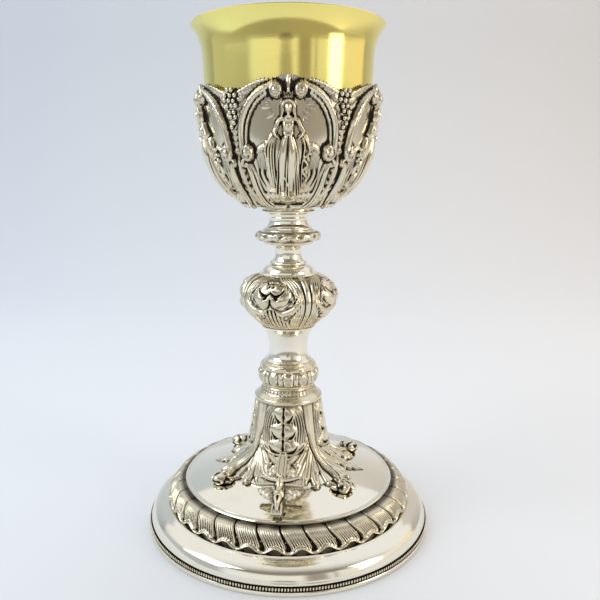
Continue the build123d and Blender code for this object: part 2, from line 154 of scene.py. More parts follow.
def blur(field, wide_u, wide_v, wrap=True):
    """A field smoothed by three box passes of the given half-widths in samples."""
    out = field
    for axis, half in ((0, wide_u), (1, wide_v)):
        half = max(1, int(round(half)))
        for _ in range(3):
            mode = "wrap" if wrap and axis == 0 else "edge"
            pad = [(0, 0), (0, 0)]
            pad[axis] = (half + 1, half)
            c = np.cumsum(np.pad(out, pad, mode=mode), axis=axis)
            n = out.shape[axis]
            hi = np.take(c, np.arange(2 * half + 1, 2 * half + 1 + n), axis=axis)
            lo = np.take(c, np.arange(0, n), axis=axis)
            out = (hi - lo) / (2 * half + 1)
    return out


# ---- reliefs: height maps on surfaces of revolution -----------------------------------------------
def bump(x):
    return np.sqrt(np.clip(1 - x * x, 0, 1))


def soft(x):
    return np.clip(1 - x * x, 0, 1) ** 2


def blunt(power, crown):
    """A section that is flatter on top the higher its power, with steeper sides the lower its crown."""
    return lambda x: np.clip(1 - np.abs(x) ** power, 0, 1) ** crown


FLAT_TOP = blunt(4, 0.6)


class Relief:
    """Heights in mm over a sector of a turned surface.

    Places on it are (degrees, key); key is z or the length along the profile."""

    def __init__(self, rows, turn, nv, key="z", wrap=True, reach=None):
        """reach is how much of the profile each column covers, 1 for all of it."""
        length = np.concatenate([[0], np.cumsum(np.linalg.norm(np.diff(rows, axis=0), axis=1))])
        self.s = np.linspace(0, length[-1], nv)
        self.r, self.z = (np.interp(self.s, length, rows[:, k]) for k in (0, 1))
        self.key = self.z if key == "z" else self.s
        self.turn = np.asarray(turn, float)
        self.wrap = wrap
        s2 = self.s[None, :] * (np.ones(len(self.turn)) if reach is None else reach)[:, None]
        r2, z2 = np.interp(s2, self.s, self.r), np.interp(s2, self.s, self.z)
        self.K = z2 if key == "z" else s2
        a = np.radians(self.turn)[:, None]
        self.P = np.stack([r2 * np.sin(a), -r2 * np.cos(a), z2], -1)
        dr, dz = np.gradient(self.r, self.s), np.gradient(self.z, self.s)
        size = np.hypot(dr, dz)
        nr, nz = np.interp(s2, self.s, dz / size), np.interp(s2, self.s, -dr / size)
        self.N = np.stack([nr * np.sin(a), -nr * np.cos(a), nz], -1)
        self.H = np.zeros(s2.shape)
        self.dark = np.ones(s2.shape)
        self.flat = self.P.reshape(-1, 3)
        self.flat_n = self.N.reshape(-1, 3)

    def at(self, turn, key):
        order = 1 if self.key[-1] > self.key[0] else -1
        s = np.interp(key, self.key[::order], self.s[::order])
        r, z = np.interp(s, self.s, self.r), np.interp(s, self.s, self.z)
        a = np.radians(turn)
        return np.stack([r * np.sin(a), -r * np.cos(a), z], -1)

    def near(self, q, reach):
        lo, hi = q.min(0) - reach, q.max(0) + reach
        p = self.flat
        return np.nonzero(((p >= lo) & (p <= hi)).all(1))[0]

    def stroke(self, ctrl, shape=bump, mode="max", base=0.0, n=8, dark=0.0):
        """A raised line through rows of (degrees, key, half width, height).

        shape(x, t) or shape(x) gives its section: x is -1 to 1 across, t 0 to 1 along."""
        path = smooth_path(ctrl, n)
        q = self.at(path[:, 0], path[:, 1])
        width, height = path[:, 2], path[:, 3]
        idx = self.near(q, width.max())
        if not len(idx):
            return
        p, nn = self.flat[idx], self.flat_n[idx]
        best = np.full(len(idx), 1e9)
        t_at = np.zeros(len(idx))
        side = np.zeros(len(idx))
        for k in range(len(q) - 1):
            d = q[k + 1] - q[k]
            dd = d @ d
            if dd < 1e-12:
                continue
            off = p - q[k]
            t = np.clip(off @ d / dd, 0, 1)
            off = off - t[:, None] * d
            off = off - (off * nn).sum(1)[:, None] * nn
            dist = (off * off).sum(1)
            m = dist < best
            best[m] = dist[m]
            t_at[m] = k + t[m]
            side[m] = (np.cross(d, off[m]) * nn[m]).sum(1)
        dist = np.sqrt(best)
        steps = np.arange(len(q))
        w = np.maximum(np.interp(t_at, steps, width), 1e-3)
        h = np.interp(t_at, steps, height)
        x = dist / w * np.sign(side)
        inside = np.abs(x) < 1
        t01 = t_at / (len(q) - 1)
        value = shape(x, t01) if shape.__code__.co_argcount == 2 else shape(x)
        self.lay(idx[inside], (h * value)[inside], mode, base, dark)

    def lay(self, idx, value, mode, base, dark):
        H = self.H.reshape(-1)
        if mode == "max":
            new = np.maximum(H[idx], base + value)
            if dark is not None:
                self.dark.reshape(-1)[idx[new > H[idx]]] = dark
            H[idx] = new
        elif mode == "add":
            H[idx] += value
            if dark:
                tint = self.dark.reshape(-1)
                tint[idx] = np.maximum(
                    tint[idx], dark * np.clip(np.abs(value) / max(np.abs(value).max(initial=0), 1e-6) * 1.6, 0, 1)
                )
        elif mode == "over":
            H[idx] = base + value
            if dark is not None:
                self.dark.reshape(-1)[idx] = dark

    def dome(self, turn, key, wide, tall, height, lean=0.0, shape=bump, mode="max", base=0.0, dark=0.0):
        """An oval boss, wide and tall its half sizes in mm, leaning by degrees."""
        c = self.at(turn, key)
        idx = self.near(c[None], max(wide, tall))
        if not len(idx):
            return
        a = math.radians(turn)
        east = np.array([math.cos(a), math.sin(a), 0])
        off = self.flat[idx] - c
        x = off @ east
        north = np.cross(self.flat_n[idx], east)
        y = (off * north).sum(1)
        k = math.radians(lean)
        x, y = x * math.cos(k) + y * math.sin(k), -x * math.sin(k) + y * math.cos(k)
        d = np.hypot(x / wide, y / tall)
        inside = d < 1
        self.lay(idx[inside], height * shape(d[inside]), mode, base, dark)

    def cut(self, ctrl, n=8, dark=0.0):
        """A soft-edged line added to what is there: a groove where its height is below zero."""
        self.stroke(ctrl, soft, "add", n=n, dark=dark)

    def press(self, turn, key, wide, tall, height, lean=0.0, dark=0.0):
        """A soft-edged boss added to what is there: a hollow where its height is below zero."""
        self.dome(turn, key, wide, tall, height, lean, soft, "add", dark=dark)

    def fill(self, outline, height, dark=0.0, n=8):
        """Sets the ground inside a closed outline of (degrees, key)."""
        path = smooth_path(list(outline) + [outline[0]], n)
        x, y = np.broadcast_to(self.turn[:, None], self.H.shape), self.K
        inside = np.zeros(self.H.shape, bool)
        for (x0, y0), (x1, y1) in zip(path, path[1:]):
            if y0 != y1:
                inside ^= ((y0 > y) != (y1 > y)) & (x < (x1 - x0) * (y - y0) / (y1 - y0) + x0)
        self.H[inside] = height
        self.dark[inside] = dark
        return inside

    def soften(self, samples=1):
        """Rounds off every step by a few samples, so that steep sides don't show the grid."""
        self.H = blur(self.H, samples, samples, self.wrap)
        self.dark = blur(self.dark, samples, samples, self.wrap)

    def points(self, lift=0.0):
        return self.P + (self.H + lift)[..., None] * self.N

    def cavity(self, *scales):
        """How deep each point lies below its surroundings, in mm, over blurs of the given half-widths in mm."""
        du = np.mean(self.r) * np.radians(abs(self.turn[1] - self.turn[0]))
        dv = abs(self.s[1] - self.s[0])
        deep = np.zeros_like(self.H)
        for scale in scales:
            deep = np.maximum(deep, blur(self.H, scale / du / 1.7, scale / dv / 1.7, self.wrap) - self.H)
        return deep


# ---- materials ------------------------------------------------------------------------------------
def put(tree, kind, props=None, ins=None):
    """Adds a node; ins maps an input's name or number to a value or to another node's output."""
    node = tree.nodes.new(kind)
    for key, value in (props or {}).items():
        setattr(node, key, value)
    for key, value in (ins or {}).items():
        if isinstance(value, bpy.types.NodeSocket):
            tree.links.new(value, node.inputs[key])
        else:
            node.inputs[key].default_value = value
    return node


def calc(tree, op, a, b=0.0, c=0.0):
    return put(tree, "ShaderNodeMath", {"operation": op}, {0: a, 1: b, 2: c}).outputs[0]


def remap(tree, value, lo, hi, out_lo=0.0, out_hi=1.0, smooth=False):
    kind = {"interpolation_type": "SMOOTHSTEP" if smooth else "LINEAR"}
    return put(tree, "ShaderNodeMapRange", kind, {0: value, 1: lo, 2: hi, 3: out_lo, 4: out_hi}).outputs[0]


def blend_colour(tree, factor, a, b, kind="MIX"):
    node = put(tree, "ShaderNodeMix", {"data_type": "RGBA", "blend_type": kind}, {0: factor, 6: a, 7: b})
    return node.outputs[2]


def noise(tree, vector, scale, detail=3.0, rough=0.5, dims="3D"):
    ins = {"Vector": vector, "Scale": scale, "Detail": detail, "Roughness": rough}
    return put(tree, "ShaderNodeTexNoise", {"noise_dimensions": dims}, ins).outputs[0]


def rgb(r, g, b):
    return (r, g, b, 1.0)


def new_material(name):
    mat = bpy.data.materials.new(name)
    mat.use_nodes = True
    tree = mat.node_tree
    shader = tree.nodes["Principled BSDF"]
    return mat, tree, shader


def round_coords(tree, around, along):
    """Object coordinates unrolled round Z.

    x grows by around per radian, y and z by along per metre of height and radius."""
    place = put(tree, "ShaderNodeTexCoord").outputs["Object"]
    xyz = put(tree, "ShaderNodeSeparateXYZ", ins={0: place}).outputs
    r = calc(
        tree, "SQRT",
        calc(tree, "ADD", calc(tree, "MULTIPLY", xyz[0], xyz[0]), calc(tree, "MULTIPLY", xyz[1], xyz[1]))
    )
    angle = calc(tree, "ARCTAN2", xyz[0], xyz[1])
    ins = {
        0: calc(tree, "MULTIPLY", angle, around),
        1: calc(tree, "MULTIPLY", xyz[2], along),
        2: calc(tree, "MULTIPLY", r, along),
    }
    return put(tree, "ShaderNodeCombineXYZ", ins=ins).outputs[0], place


def metal(name, colour, deep, rough=0.14, scratch=0.3, dings=0.25, patina=None, spots=0.15):
    """Polished metal with turning scratches, small dings and tarnish.

    patina=(shallow, full) darkens the piece where its cavity lies between these depths in mm, and where its ground
    attribute is set; this lays oxide in the hollows and painted shade together."""
    mat, tree, shader = new_material(name)
    turned, place = round_coords(tree, 5.0, 2600.0)
    lines = noise(tree, turned, 1.0, 4.0, 0.7)
    cloud = noise(tree, place, 55.0, 4.0, 0.6)
    fine = noise(tree, place, 900.0, 2.0, 0.6)
    tarnish = remap(tree, cloud, 0.50, 0.78, 0.0, spots, True)
    surface = blend_colour(tree, tarnish, rgb(*colour), rgb(*[c * k for c, k in zip(colour, (0.62, 0.55, 0.45))]))
    rough_now = calc(tree, "ADD", rough, calc(tree, "MULTIPLY", remap(tree, lines, 0.35, 0.7), 0.10 * scratch + 0.02))
    rough_now = calc(tree, "ADD", rough_now, calc(tree, "MULTIPLY", tarnish, 0.35))
    if patina:
        # painted shade: the cavity and ground attributes carry painted shade on some pieces as well as oxide, and
        # both darken to the deep colour here
        cav = put(tree, "ShaderNodeAttribute", {"attribute_name": "cavity"}).outputs["Fac"]
        ground = put(tree, "ShaderNodeAttribute", {"attribute_name": "ground"}).outputs["Fac"]
        edge = calc(tree, "ADD", cav, remap(tree, fine, 0.3, 0.7, -0.25 * patina[0], 0.25 * patina[0]))
        factor = remap(tree, edge, patina[0], patina[1], 0.0, 1.0, True)
        lowland = calc(tree, "MULTIPLY", ground, remap(tree, cloud, 0.3, 0.75, 1.0, 0.72))
        factor = calc(tree, "MAXIMUM", factor, lowland)
        surface = blend_colour(tree, factor, surface, rgb(*deep))
        rough_now = calc(tree, "ADD", rough_now, calc(tree, "MULTIPLY", factor, 0.3))
    height = calc(
        tree, "ADD", calc(tree, "MULTIPLY", lines, scratch * 0.35), calc(tree, "MULTIPLY", fine, dings * 0.35)
    )
    ding = noise(tree, place, 160.0, 1.0, 0.4)
    height = calc(tree, "ADD", height, calc(tree, "MULTIPLY", ding, dings))
    normal = put(tree, "ShaderNodeBump", ins={"Strength": 0.35, "Distance": 0.00012, "Height": height}).outputs[0]
    for key, value in {"Base Color": surface, "Roughness": rough_now, "Normal": normal}.items():
        tree.links.new(value, shader.inputs[key])
    shader.inputs["Metallic"].default_value = 1.0
    return mat


SILVER = (0.90, 0.855, 0.735)
# dark colour of oxide in the hollows, also used for painted shade
OXIDE = (0.030, 0.024, 0.018)
plain = metal("polished_silver", SILVER, OXIDE, rough=0.07, scratch=0.5, dings=0.15, spots=0.10)
chased = metal(
    "oxidised_silver_and_shade", [c * k for c, k in zip(SILVER, (0.87, 0.835, 0.75))], OXIDE, rough=0.13, scratch=0.1,
    dings=0.3, patina=(0.03, 0.2), spots=0.5
)
gilt = metal("gilding", (0.93, 0.81, 0.265), OXIDE, rough=0.09, scratch=0.55, dings=0.12, spots=0.12)
satin = metal(
    "satin_silver", [c * k for c, k in zip(SILVER, (0.95, 0.93, 0.88))], OXIDE, rough=0.36, scratch=0.1, dings=0.3,
    patina=(0.06, 0.3), spots=0.3
)
brass = metal("satin_brass", (0.74, 0.58, 0.30), OXIDE, rough=0.30, scratch=0.8, dings=0.4, spots=0.5)
steel = metal("satin_steel", (0.56, 0.56, 0.57), OXIDE, rough=0.32, scratch=0.8, dings=0.4, spots=0.3)


def piece(ob, body, node, slot):
    """ob rides on body and stands for the CAD node; slot is not used."""
    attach(ob, body)
    if node:
        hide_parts(*([node] if isinstance(node, str) else node))
    return ob


def relief_ring(name, relief, inner, mat, copies=1, cavity_scales=(0.35, 0.9), sharp=None, soften=True):
    """A ring whose outside is a relief, repeated copies times round.

    Its inside is the (r, z) rows inner, from its top down."""
    if soften:
        relief.soften()
    cav = relief.cavity(*cavity_scales)
    step = 360.0 / copies
    outer, cavs, darks = [], [], []
    for k in range(copies):
        pts = relief.points()
        turn_grid(pts, step * k)
        outer.append(pts)
        cavs.append(cav)
        darks.append(relief.dark)
    outer = np.concatenate(outer)
    turn = np.concatenate([relief.turn + step * k for k in range(copies)])
    inside = spin(inner[:, 0], inner[:, 1], turn)
    pts = np.concatenate([outer, inside], axis=1)
    zero = np.zeros(inside.shape[:2])
    attrs = {
        "cavity": np.concatenate([np.concatenate(cavs), zero], axis=1),
        "ground": np.concatenate([np.concatenate(darks), zero], axis=1),
    }
    return make_object(name, pts, grid_faces(pts.shape[0], pts.shape[1], True, True), mat, attrs, sharp=sharp)


# ---- turned pieces --------------------------------------------------------------------------------
BORE = 3.3  # every stem turning is bored for the tie rod
TURNED = {
    "base_ring": (
        "plain_silver", profile([(66.5, 0), (74.6, 0)], [(75, 0.4)], [(75, 1.6)], [(74.7, 2)], [(66.5, 2)])
    ),
    "foot_rim": (
        "plain_silver",
        profile(
            [(72.2, 2.0), (72.2, 3.9)],
            [(73.3, 4.1), (73.7, 4.6), (73.45, 5.3)],
            [(72.9, 7.0), (71.6, 9.3), (69.0, 10.9), (66.3, 11.7), (64.9, 12.2)],
            [(64.7, 13.0)],
            [(59.5, 13.0)],
            [(59.5, 12.0)],
            [(64.0, 11.6), (68.3, 10.0), (71.0, 7.4), (71.2, 2.0)],
        ),
    ),
    "foot_plate": (
        "plain_silver",
        profile(
            [(53.1, 22.4), (54.7, 22.4)],
            [(55.15, 22.7), (55.2, 23.2), (54.8, 23.62)],
            [(53.6, 23.72)],
            [(53.3, 23.55), (52.9, 23.6), (52.5, 23.95)],
            [(27.0, 27.95)],
            [(27.0, 26.95)],
            [(53.1, 22.92)],
        ),
    ),
    "foot_trumpet": (
        "plain_silver",
        profile(
            [(30.9, 27.35), (30.9, 28.2)],
            [(24.8, 32.0), (20.6, 36.6), (18.2, 41.4), (17.15, 46.0)],
            [(14.4, 65.9)],
            [(BORE, 65.9)],
            [(BORE, 64.7)],
            [(13.1, 64.7)],
            [(15.9, 46.0)],
            [(17.0, 41.4), (19.4, 36.0), (22.6, 31.4), (26.0, 28.12)],
        ),
    ),
    "baluster": (
        "plain_silver",
        profile(
            [(BORE, 86.0), (12.2, 86.0)],
            [(12.5, 86.5), (12.2, 87.0), (11.5, 87.3)],
            [(10.6, 88.8), (10.1, 91.4), (10.05, 94.2), (10.6, 97.8), (11.9, 101.6), (13.3, 104.2)],
            [(13.9, 104.4), (14.0, 105.0)],
            [(BORE, 105.0)],
        ),
    ),
    "knop_cap": (
        "plain_silver",
        profile(
            [(BORE, 131.5), (14.6, 131.5)],
            [(15.0, 132.0), (14.6, 132.5)],
            [(13.4, 132.8)],
            [(12.9, 134.2), (11.6, 135.6), (9.6, 136.5)],
            [(8.6, 136.7)],
            [(9.5, 137.0), (9.6, 137.7), (8.9, 138.5)],
            [(BORE, 138.5)],
        ),
    ),
    "lower_neck": (
        "plain_silver",
        profile(
            [(BORE, 138.5), (7.9, 138.5)],
            [(7.1, 140.0), (6.75, 142.3), (7.2, 144.6), (8.6, 146.3)],
            [(9.8, 146.7)],
            [(9.8, 147.2)],
            [(BORE, 147.2)],
        ),
    ),
    "upper_neck": (
        "plain_silver",
        profile(
            [(BORE, 154.6), (12.3, 154.6)],
            [(12.5, 155.0), (12.2, 155.4)],
            [(11.2, 155.8), (10.2, 157.2), (9.85, 158.8), (10.1, 160.2), (10.8, 161.0)],
            [(10.9, 161.4)],
            [(BORE, 161.4)],
        ),
    ),
    "calyx_ring": (
        "plain_silver",
        profile(
            [(6.7, 161.4), (11.2, 161.4)],
            [(11.7, 162.4), (12.6, 163.0)],
            [(13.2, 163.15), (13.45, 163.6), (13.2, 164.1)],
            [(12.9, 164.4)],
            [(13.6, 165.0), (14.6, 165.6)],
            [(6.7, 165.65)],
        ),
    ),
}
for node, (slot, rows) in TURNED.items():
    piece(lathe(node + "_turned", rows, plain, sharp=40), "stand", node, slot)

cup_rows = profile(
    [(0.02, 171.5), (14.0, 171.5)],
    [
        (20.5, 172.9), (26.5, 176.5), (31.4, 181.8), (34.9, 188.4), (37.4, 196.2), (39.0, 205.0), (40.3, 218.0),
        (40.8, 228.0), (41.15, 237.0)
    ],
    [(41.6, 240.2), (42.6, 243.6), (44.1, 246.8), (46.3, 249.55)],
    [(46.75, 249.85), (46.6, 250.0), (46.1, 249.9)],
    [(43.2, 246.8), (41.6, 243.4), (40.6, 239.9), (40.15, 236.8)],
    [
        (39.8, 228.0), (39.3, 218.0), (38.0, 205.0), (36.4, 196.4), (33.9, 188.8), (30.5, 182.4), (25.8, 177.3),
        (20.2, 173.9), (14.0, 172.5)
    ],
    [(0.02, 172.5)],
    step=0.9,
)
piece(lathe("cup_bowl", cup_rows, gilt, 300, sharp=60), "cup", "cup", "gilt")


# ---- false cup: five cartouches, each with a standing figure, and grapes between ----------------------
SHELL = profile(
    [(7.0, 165.7), (14.5, 165.75)],
    [
        (19.5, 166.5), (24.0, 169.2), (30.4, 175.8), (34.7, 182.4), (37.4, 189.1), (39.1, 195.7), (40.4, 202.3),
        (41.4, 208.8), (42.1, 215.2), (42.8, 223.4)
    ],
    step=0.5,
)
CARTOUCHES = 5


def garland_top(turn):
    """Height of the false cup's top edge: a fan over each cartouche, serrated leaves beside it and a dip between."""
    t = np.abs((turn + 36) % 72 - 36)
    z = np.interp(
        t, [0, 4, 7.5, 9.5, 14, 21, 27, 31, 36], [222.9, 222.6, 221.4, 221.0, 221.3, 219.9, 217.9, 216.9, 217.4]
    )
    fan = np.where(t < 8, 0.45 * np.abs(np.cos(np.pi * t / 1.3)), 0.0)
    leaf = np.where((t >= 8) & (t < 32), 0.9 * ((t / 2.3) % 1.0), 0.0)
    return z + fan + leaf - 0.5


def mirrored(rows):
    return [[-row[0]] + list(row[1:]) for row in rows]


def frame_section(x, t):
    """A broad smooth roll with a fine bead along its inner edge."""
    roll = np.clip(1 - np.abs((x + 0.26) / 0.74) ** 2.3, 0, 1) ** 0.55
    bead = 0.66 * np.clip(1 - np.abs((x - 0.77) / 0.23) ** 2, 0, 1) ** 0.6
    return np.maximum(roll, bead)


def vein_leaf(x, t):
    """A leaf blade: pointed at both ends, a groove down the middle."""
    return bump(x) * (1 - 0.45 * np.exp(-((x / 0.16) ** 2)))


def false_cup_relief():
    nu, nv = int(280 * DETAIL), int(236 * DETAIL)
    turn = np.linspace(-36, 36, nu, endpoint=False)
    length = np.concatenate([[0], np.cumsum(np.linalg.norm(np.diff(SHELL, axis=0), axis=1))])
    reach = np.interp(garland_top(turn), SHELL[:, 1], length) / length[-1]
    f = Relief(SHELL, turn, nv, "z", True, reach)

    # the medallion's field, polished above and worked below
    left = [
        (0, 217.5), (-9, 215.8), (-16, 213.8), (-22, 208.5), (-26, 202), (-28, 195.5), (-27, 190), (-27, 184),
        (-26.5, 176), (-23, 170), (-12, 168)
    ]
    f.fill(left + mirrored(left[1:])[::-1], 0.35, 0.0)
    rays, head_z = 30, 209.9
    deg = 180 / math.pi / 41.6  # degrees to a millimetre at the head's height
    for k in range(rays):  # rays round the head
        a = math.radians(-90 + 360 / rays * (k + 0.5))
        if math.cos(a + math.pi / 2) > 0.83:
            continue
        r0, r1 = 3.9, 8.4 + 3.4 * ((k * 7) % 5) / 4
        x0, y0, x1, y1 = r0 * math.cos(a), r0 * math.sin(a), r1 * math.cos(a), r1 * math.sin(a)
        f.cut([
            (x0 * deg, head_z + y0, 0.42, -0.7), ((x0 + x1) / 2 * deg, head_z + (y0 + y1) / 2, 0.55, -0.85),
            (x1 * deg, head_z + y1, 0.3, -0.3)
        ], n=5, dark=1.0)
    for side in (-1, 1):  # clouds that fall past the robe
        f.stroke([
            (side * 21.5, 190.8, 0.5, 0.5), (side * 17.5, 192.9, 0.9, 0.9), (side * 13.0, 193.6, 0.8, 0.8)
        ], bump, base=0.35, n=6)
        for k in range(8):
            t = k / 7
            f.cut([
                (side * (22.4 - 1.2 * k), 190.6 + 0.4 * k, 0.3, -0.35), (side * (21.4 - 1.5 * k), 185.5, 0.45, -0.65),
                (side * (21.6 - 1.35 * k + 1.4 * math.sin(2.1 * k)), 181.0, 0.45, -0.65),
                (side * (19.0 - 1.5 * k + 1.2 * math.sin(2.1 * k)), 175.5 + 0.5 * k, 0.25, -0.35)
            ], n=6, dark=0.75)
        for k in range(9):
            f.cut([
                (side * (24.0 - 1.5 * k), 174.6 - 0.28 * k, 0.25, -0.4),
                (side * (23.2 - 1.5 * k), 172.9 - 0.28 * k, 0.3, -0.5)
            ], n=3, dark=0.8)
        for k in range(5):
            f.stroke([
                (side * (3 + 4.2 * k), 170.6 + 1.1 * math.sin(2.2 * k), 1.1, 0.8),
                (side * (6 + 4.2 * k), 171.6 + k * 0.3, 1.3, 1.0), (side * (8.2 + 4.2 * k), 170.4 + 0.5 * k, 0.9, 0.5)
            ], bump, base=0.3, n=5)

    coin = blunt(5, 0.5)

    # shell fan over the head
    for k in range(17):
        a = math.radians(-76 + 152 / 16 * k)
        reach_mm = 6.8 + 0.5 * math.cos(a)
        tip = (math.degrees(math.sin(a) * reach_mm / 42.3), 216.0 + math.cos(a) * reach_mm)
        f.stroke([(tip[0] * 0.2, 217.2, 0.16, 0.5), (*tip, 0.42, 0.75)], bump, n=5, dark=0.15)
    f.stroke([(0, 216.8, 0.8, 1.3), (0, 219.6, 1.0, 1.7), (0, 222.0, 0.3, 1.1)], vein_leaf, n=5)
    f.dome(0, 215.9, 1.2, 1.0, 1.7)

    for side in (-1, 1):
        flip = (lambda rows: rows) if side < 0 else mirrored
        # two rows of small leaves along the outside of the frame, on dark ground
        for k in range(13):
            t = k / 12
            at = (-8.0 - 21.5 * t, 220.4 - 0.4 * t - 4.3 * t * t)
            slope = 0.9 - 1.2 * t
            f.stroke(
                flip(
                    [
                        (at[0] + 1.5, at[1] - 1.0, 0.25, 0.6), (at[0] - 0.5, at[1] + 0.3, 0.58, 1.15),
                        (at[0] - 3.2, at[1] + slope, 0.10, 0.7)
                    ]
                ),
                vein_leaf, n=5
            )
            f.stroke(
                flip(
                    [
                        (at[0] - 0.2, at[1] - 2.6, 0.2, 0.5), (at[0] - 2.2, at[1] - 1.7, 0.5, 0.95),
                        (at[0] - 4.6, at[1] - 1.3 + 0.5 * slope, 0.10, 0.5)
                    ]
                ),
                vein_leaf, n=5
            )
        # the ground between two cartouches: vine leaves, stem, rosette and leaf spray
        mid = side * 36
        for k in range(4):
            y = 217.0 - 3.4 * k
            spread = 9.0 - 2.1 * k
            f.stroke([
                (mid - side * 2.6, y - 1.6, 0.4, 0.6), (mid - side * (2.6 + spread * 0.6), y - 0.2, 1.0, 1.0),
                (mid - side * (2.6 + spread), y + 0.7, 0.2, 0.5)
            ], vein_leaf, n=5, dark=0.15)
        f.stroke(
            [(mid, 204, 0.45, 0.8), (mid - side * 0.6, 199, 0.5, 0.9), (mid, 193, 0.5, 0.9)], bump, n=5, dark=0.15
        )
        for k in range(4):
            y = 201.5 - 2.3 * k
            f.stroke([
                (mid, y - 0.6, 0.3, 0.7), (mid - side * 1.6, y + 0.4, 0.62, 1.0),
                (mid - side * 3.2, y + 1.9, 0.15, 0.5)
            ], vein_leaf, n=4, dark=0.1)
        f.dome(mid, 191.6, 1.75, 1.75, 1.5, shape=bump)
        f.cut([
            (mid + 1.2, 191.6, 0.3, -0.7), (mid, 192.7, 0.3, -0.7), (mid - 1.2, 191.6, 0.3, -0.7),
            (mid, 190.5, 0.3, -0.7), (mid + 1.2, 191.6, 0.3, -0.7)
        ], n=5, dark=0.7)
        f.stroke([
            (mid, 188.9, 0.5, 1.0), (mid - side * 0.4, 182, 1.1, 1.5), (mid, 171.5, 0.4, 1.0), (mid, 167.0, 0.3, 0.8)
        ], vein_leaf, n=6, dark=0.05)
        for k in range(7):
            y = 188.0 - 2.9 * k
            grow = 2.4 + 0.62 * k
            f.stroke([
                (mid - side * 0.4, y, 0.35, 0.9), (mid - side * grow * 0.62, y - 1.6, 0.72, 1.3),
                (mid - side * grow, y - 1.2 + 0.2 * k, 0.2, 0.6)
            ], vein_leaf, n=5, dark=0.05)
        section = frame_section if side < 0 else (lambda x, t: frame_section(-x, t))
        # lower scroll that carries the frame down to the bottom
        low = [
            (-31.6, 187.0, 0.9, 1.3), (-29.4, 186.8, 1.2, 1.5), (-27.4, 184.4, 1.6, 1.7), (-26.6, 180.6, 1.8, 1.8),
            (-26.4, 176.4, 1.9, 1.8), (-25.6, 172.2, 1.9, 1.8), (-22.8, 168.8, 1.8, 1.6), (-17.0, 166.9, 1.5, 1.4),
            (-11.0, 166.3, 1.0, 1.1)
        ]
        f.stroke(flip(low), section, "over", base=0.45, n=8)
        f.stroke(
            flip(
                [
                    (-36.0, 177.0, 0.6, 1.0), (-33.8, 172.0, 1.1, 1.2), (-31.0, 168.6, 1.3, 1.2),
                    (-27.0, 166.6, 1.0, 0.9)
                ]
            ),
            vein_leaf, n=6
        )
        # the frame's rolled band, from the top volute down to the side volute
        band = [
            (-8.2, 218.0, 1.3, 1.7), (-12.8, 217.0, 2.0, 2.3), (-19.4, 213.7, 2.25, 2.5), (-24.2, 209.3, 2.25, 2.5),
            (-27.7, 204.0, 2.2, 2.5), (-29.3, 198.8, 2.1, 2.4), (-29.5, 194.4, 1.8, 2.2), (-28.6, 191.4, 1.2, 1.9)
        ]
        f.stroke(flip(band), section, "over", base=0.45, n=8)
        # top volute: a coil under a disc with a ring cut into it
        f.dome(side * 7.1, 216.3, 2.5, 2.5, 1.2, base=0.3)
        coil = [
            (-12.0, 218.3, 0.9, 2.2), (-9.0, 219.0, 0.95, 2.6), (-6.2, 218.7, 0.95, 2.8), (-4.5, 217.2, 0.9, 2.9),
            (-4.7, 215.1, 0.9, 2.9), (-6.6, 213.9, 0.85, 2.8), (-8.8, 214.5, 0.75, 2.6)
        ]
        f.stroke(flip(coil), bump, base=0.2, n=6)
        # side volute: the same, with a second small coil below
        curl = [
            (-31.3, 197.5, 0.8, 1.9), (-31.4, 193.0, 1.0, 2.4), (-30.0, 189.6, 1.1, 2.7), (-26.9, 188.4, 1.1, 2.8),
            (-24.3, 189.9, 1.05, 2.8), (-24.2, 192.6, 1.0, 2.7), (-26.6, 194.0, 0.95, 2.5)
        ]
        ring = [
            (
                27.4 + 2.6 * math.cos(q), 191.2 + 1.85 * math.sin(q), 0.5, -1.3
            ) for q in np.radians(np.linspace(-150, 150, 11))
        ]
        f.stroke(flip(curl), bump, base=0.2, n=6)
        f.stroke(
            flip(
                [
                    (-30.2, 188.3, 0.7, 1.8), (-32.3, 187.6, 0.9, 2.2), (-32.4, 186.0, 0.95, 2.3),
                    (-30.8, 185.4, 0.8, 2.2)
                ]
            ),
            bump, base=0.2, n=6
        )
        f.dome(side * 27.4, 191.2, 3.3, 3.3, 3.0, base=0.4, shape=coin)
        f.cut([(side * u, z, w, d) for u, z, w, d in ring], n=4, dark=0.9)
        f.dome(side * 7.1, 216.2, 2.9, 2.9, 3.2, base=0.3, shape=coin)
        ring = [
            (
                7.1 + 2.1 * math.cos(q), 216.2 + 1.5 * math.sin(q), 0.45, -1.2
            ) for q in np.radians(np.linspace(-130, 160, 10))
        ]
        f.cut([(side * u, z, w, d) for u, z, w, d in ring], n=4, dark=0.85)
        # bottom pair of scrolls
        f.dome(side * 9.2, 167.3, 3.0, 1.35, 2.2, lean=side * 8, base=0.3)
        f.press(side * 9.2, 167.3, 2.2, 0.75, -0.7)
    return f


SHELL_INSIDE = profile(
    [
        (42.1, 216.5), (41.9, 212.0), (40.9, 205.0), (39.6, 197.5), (36.9, 189.6), (33.6, 182.5), (29.2, 176.2),
        (23.4, 170.4), (19.0, 167.6), (14.0, 166.75), (7.0, 166.7)
    ],
    step=5.0,
)
shell = relief_ring("false_cup_shell", false_cup_relief(), SHELL_INSIDE, chased, CARTOUCHES)
piece(shell, "stand", "false_cup", "relief_silver")


def spheres(centres, radii, nu=14, nv=9):
    """Points and faces of many small balls, and each point's place on its own ball."""
    a = np.linspace(0, 2 * np.pi, nu, endpoint=False)
    b = np.linspace(-np.pi / 2, np.pi / 2, nv)
    unit = np.stack([
        np.outer(np.cos(a), np.cos(b)), np.outer(np.sin(a), np.cos(b)), np.broadcast_to(np.sin(b), (nu, nv))
    ], -1)
    unit = unit.reshape(-1, 3)
    quads = grid_faces(nu, nv, close_u=True)
    verts = np.asarray(centres)[:, None, :] + np.asarray(radii)[:, None, None] * unit[None]
    faces = quads[None] + (np.arange(len(centres)) * nu * nv)[:, None, None]
    return verts.reshape(-1, 3), faces.reshape(-1, 4), np.tile(unit, (len(centres), 1))


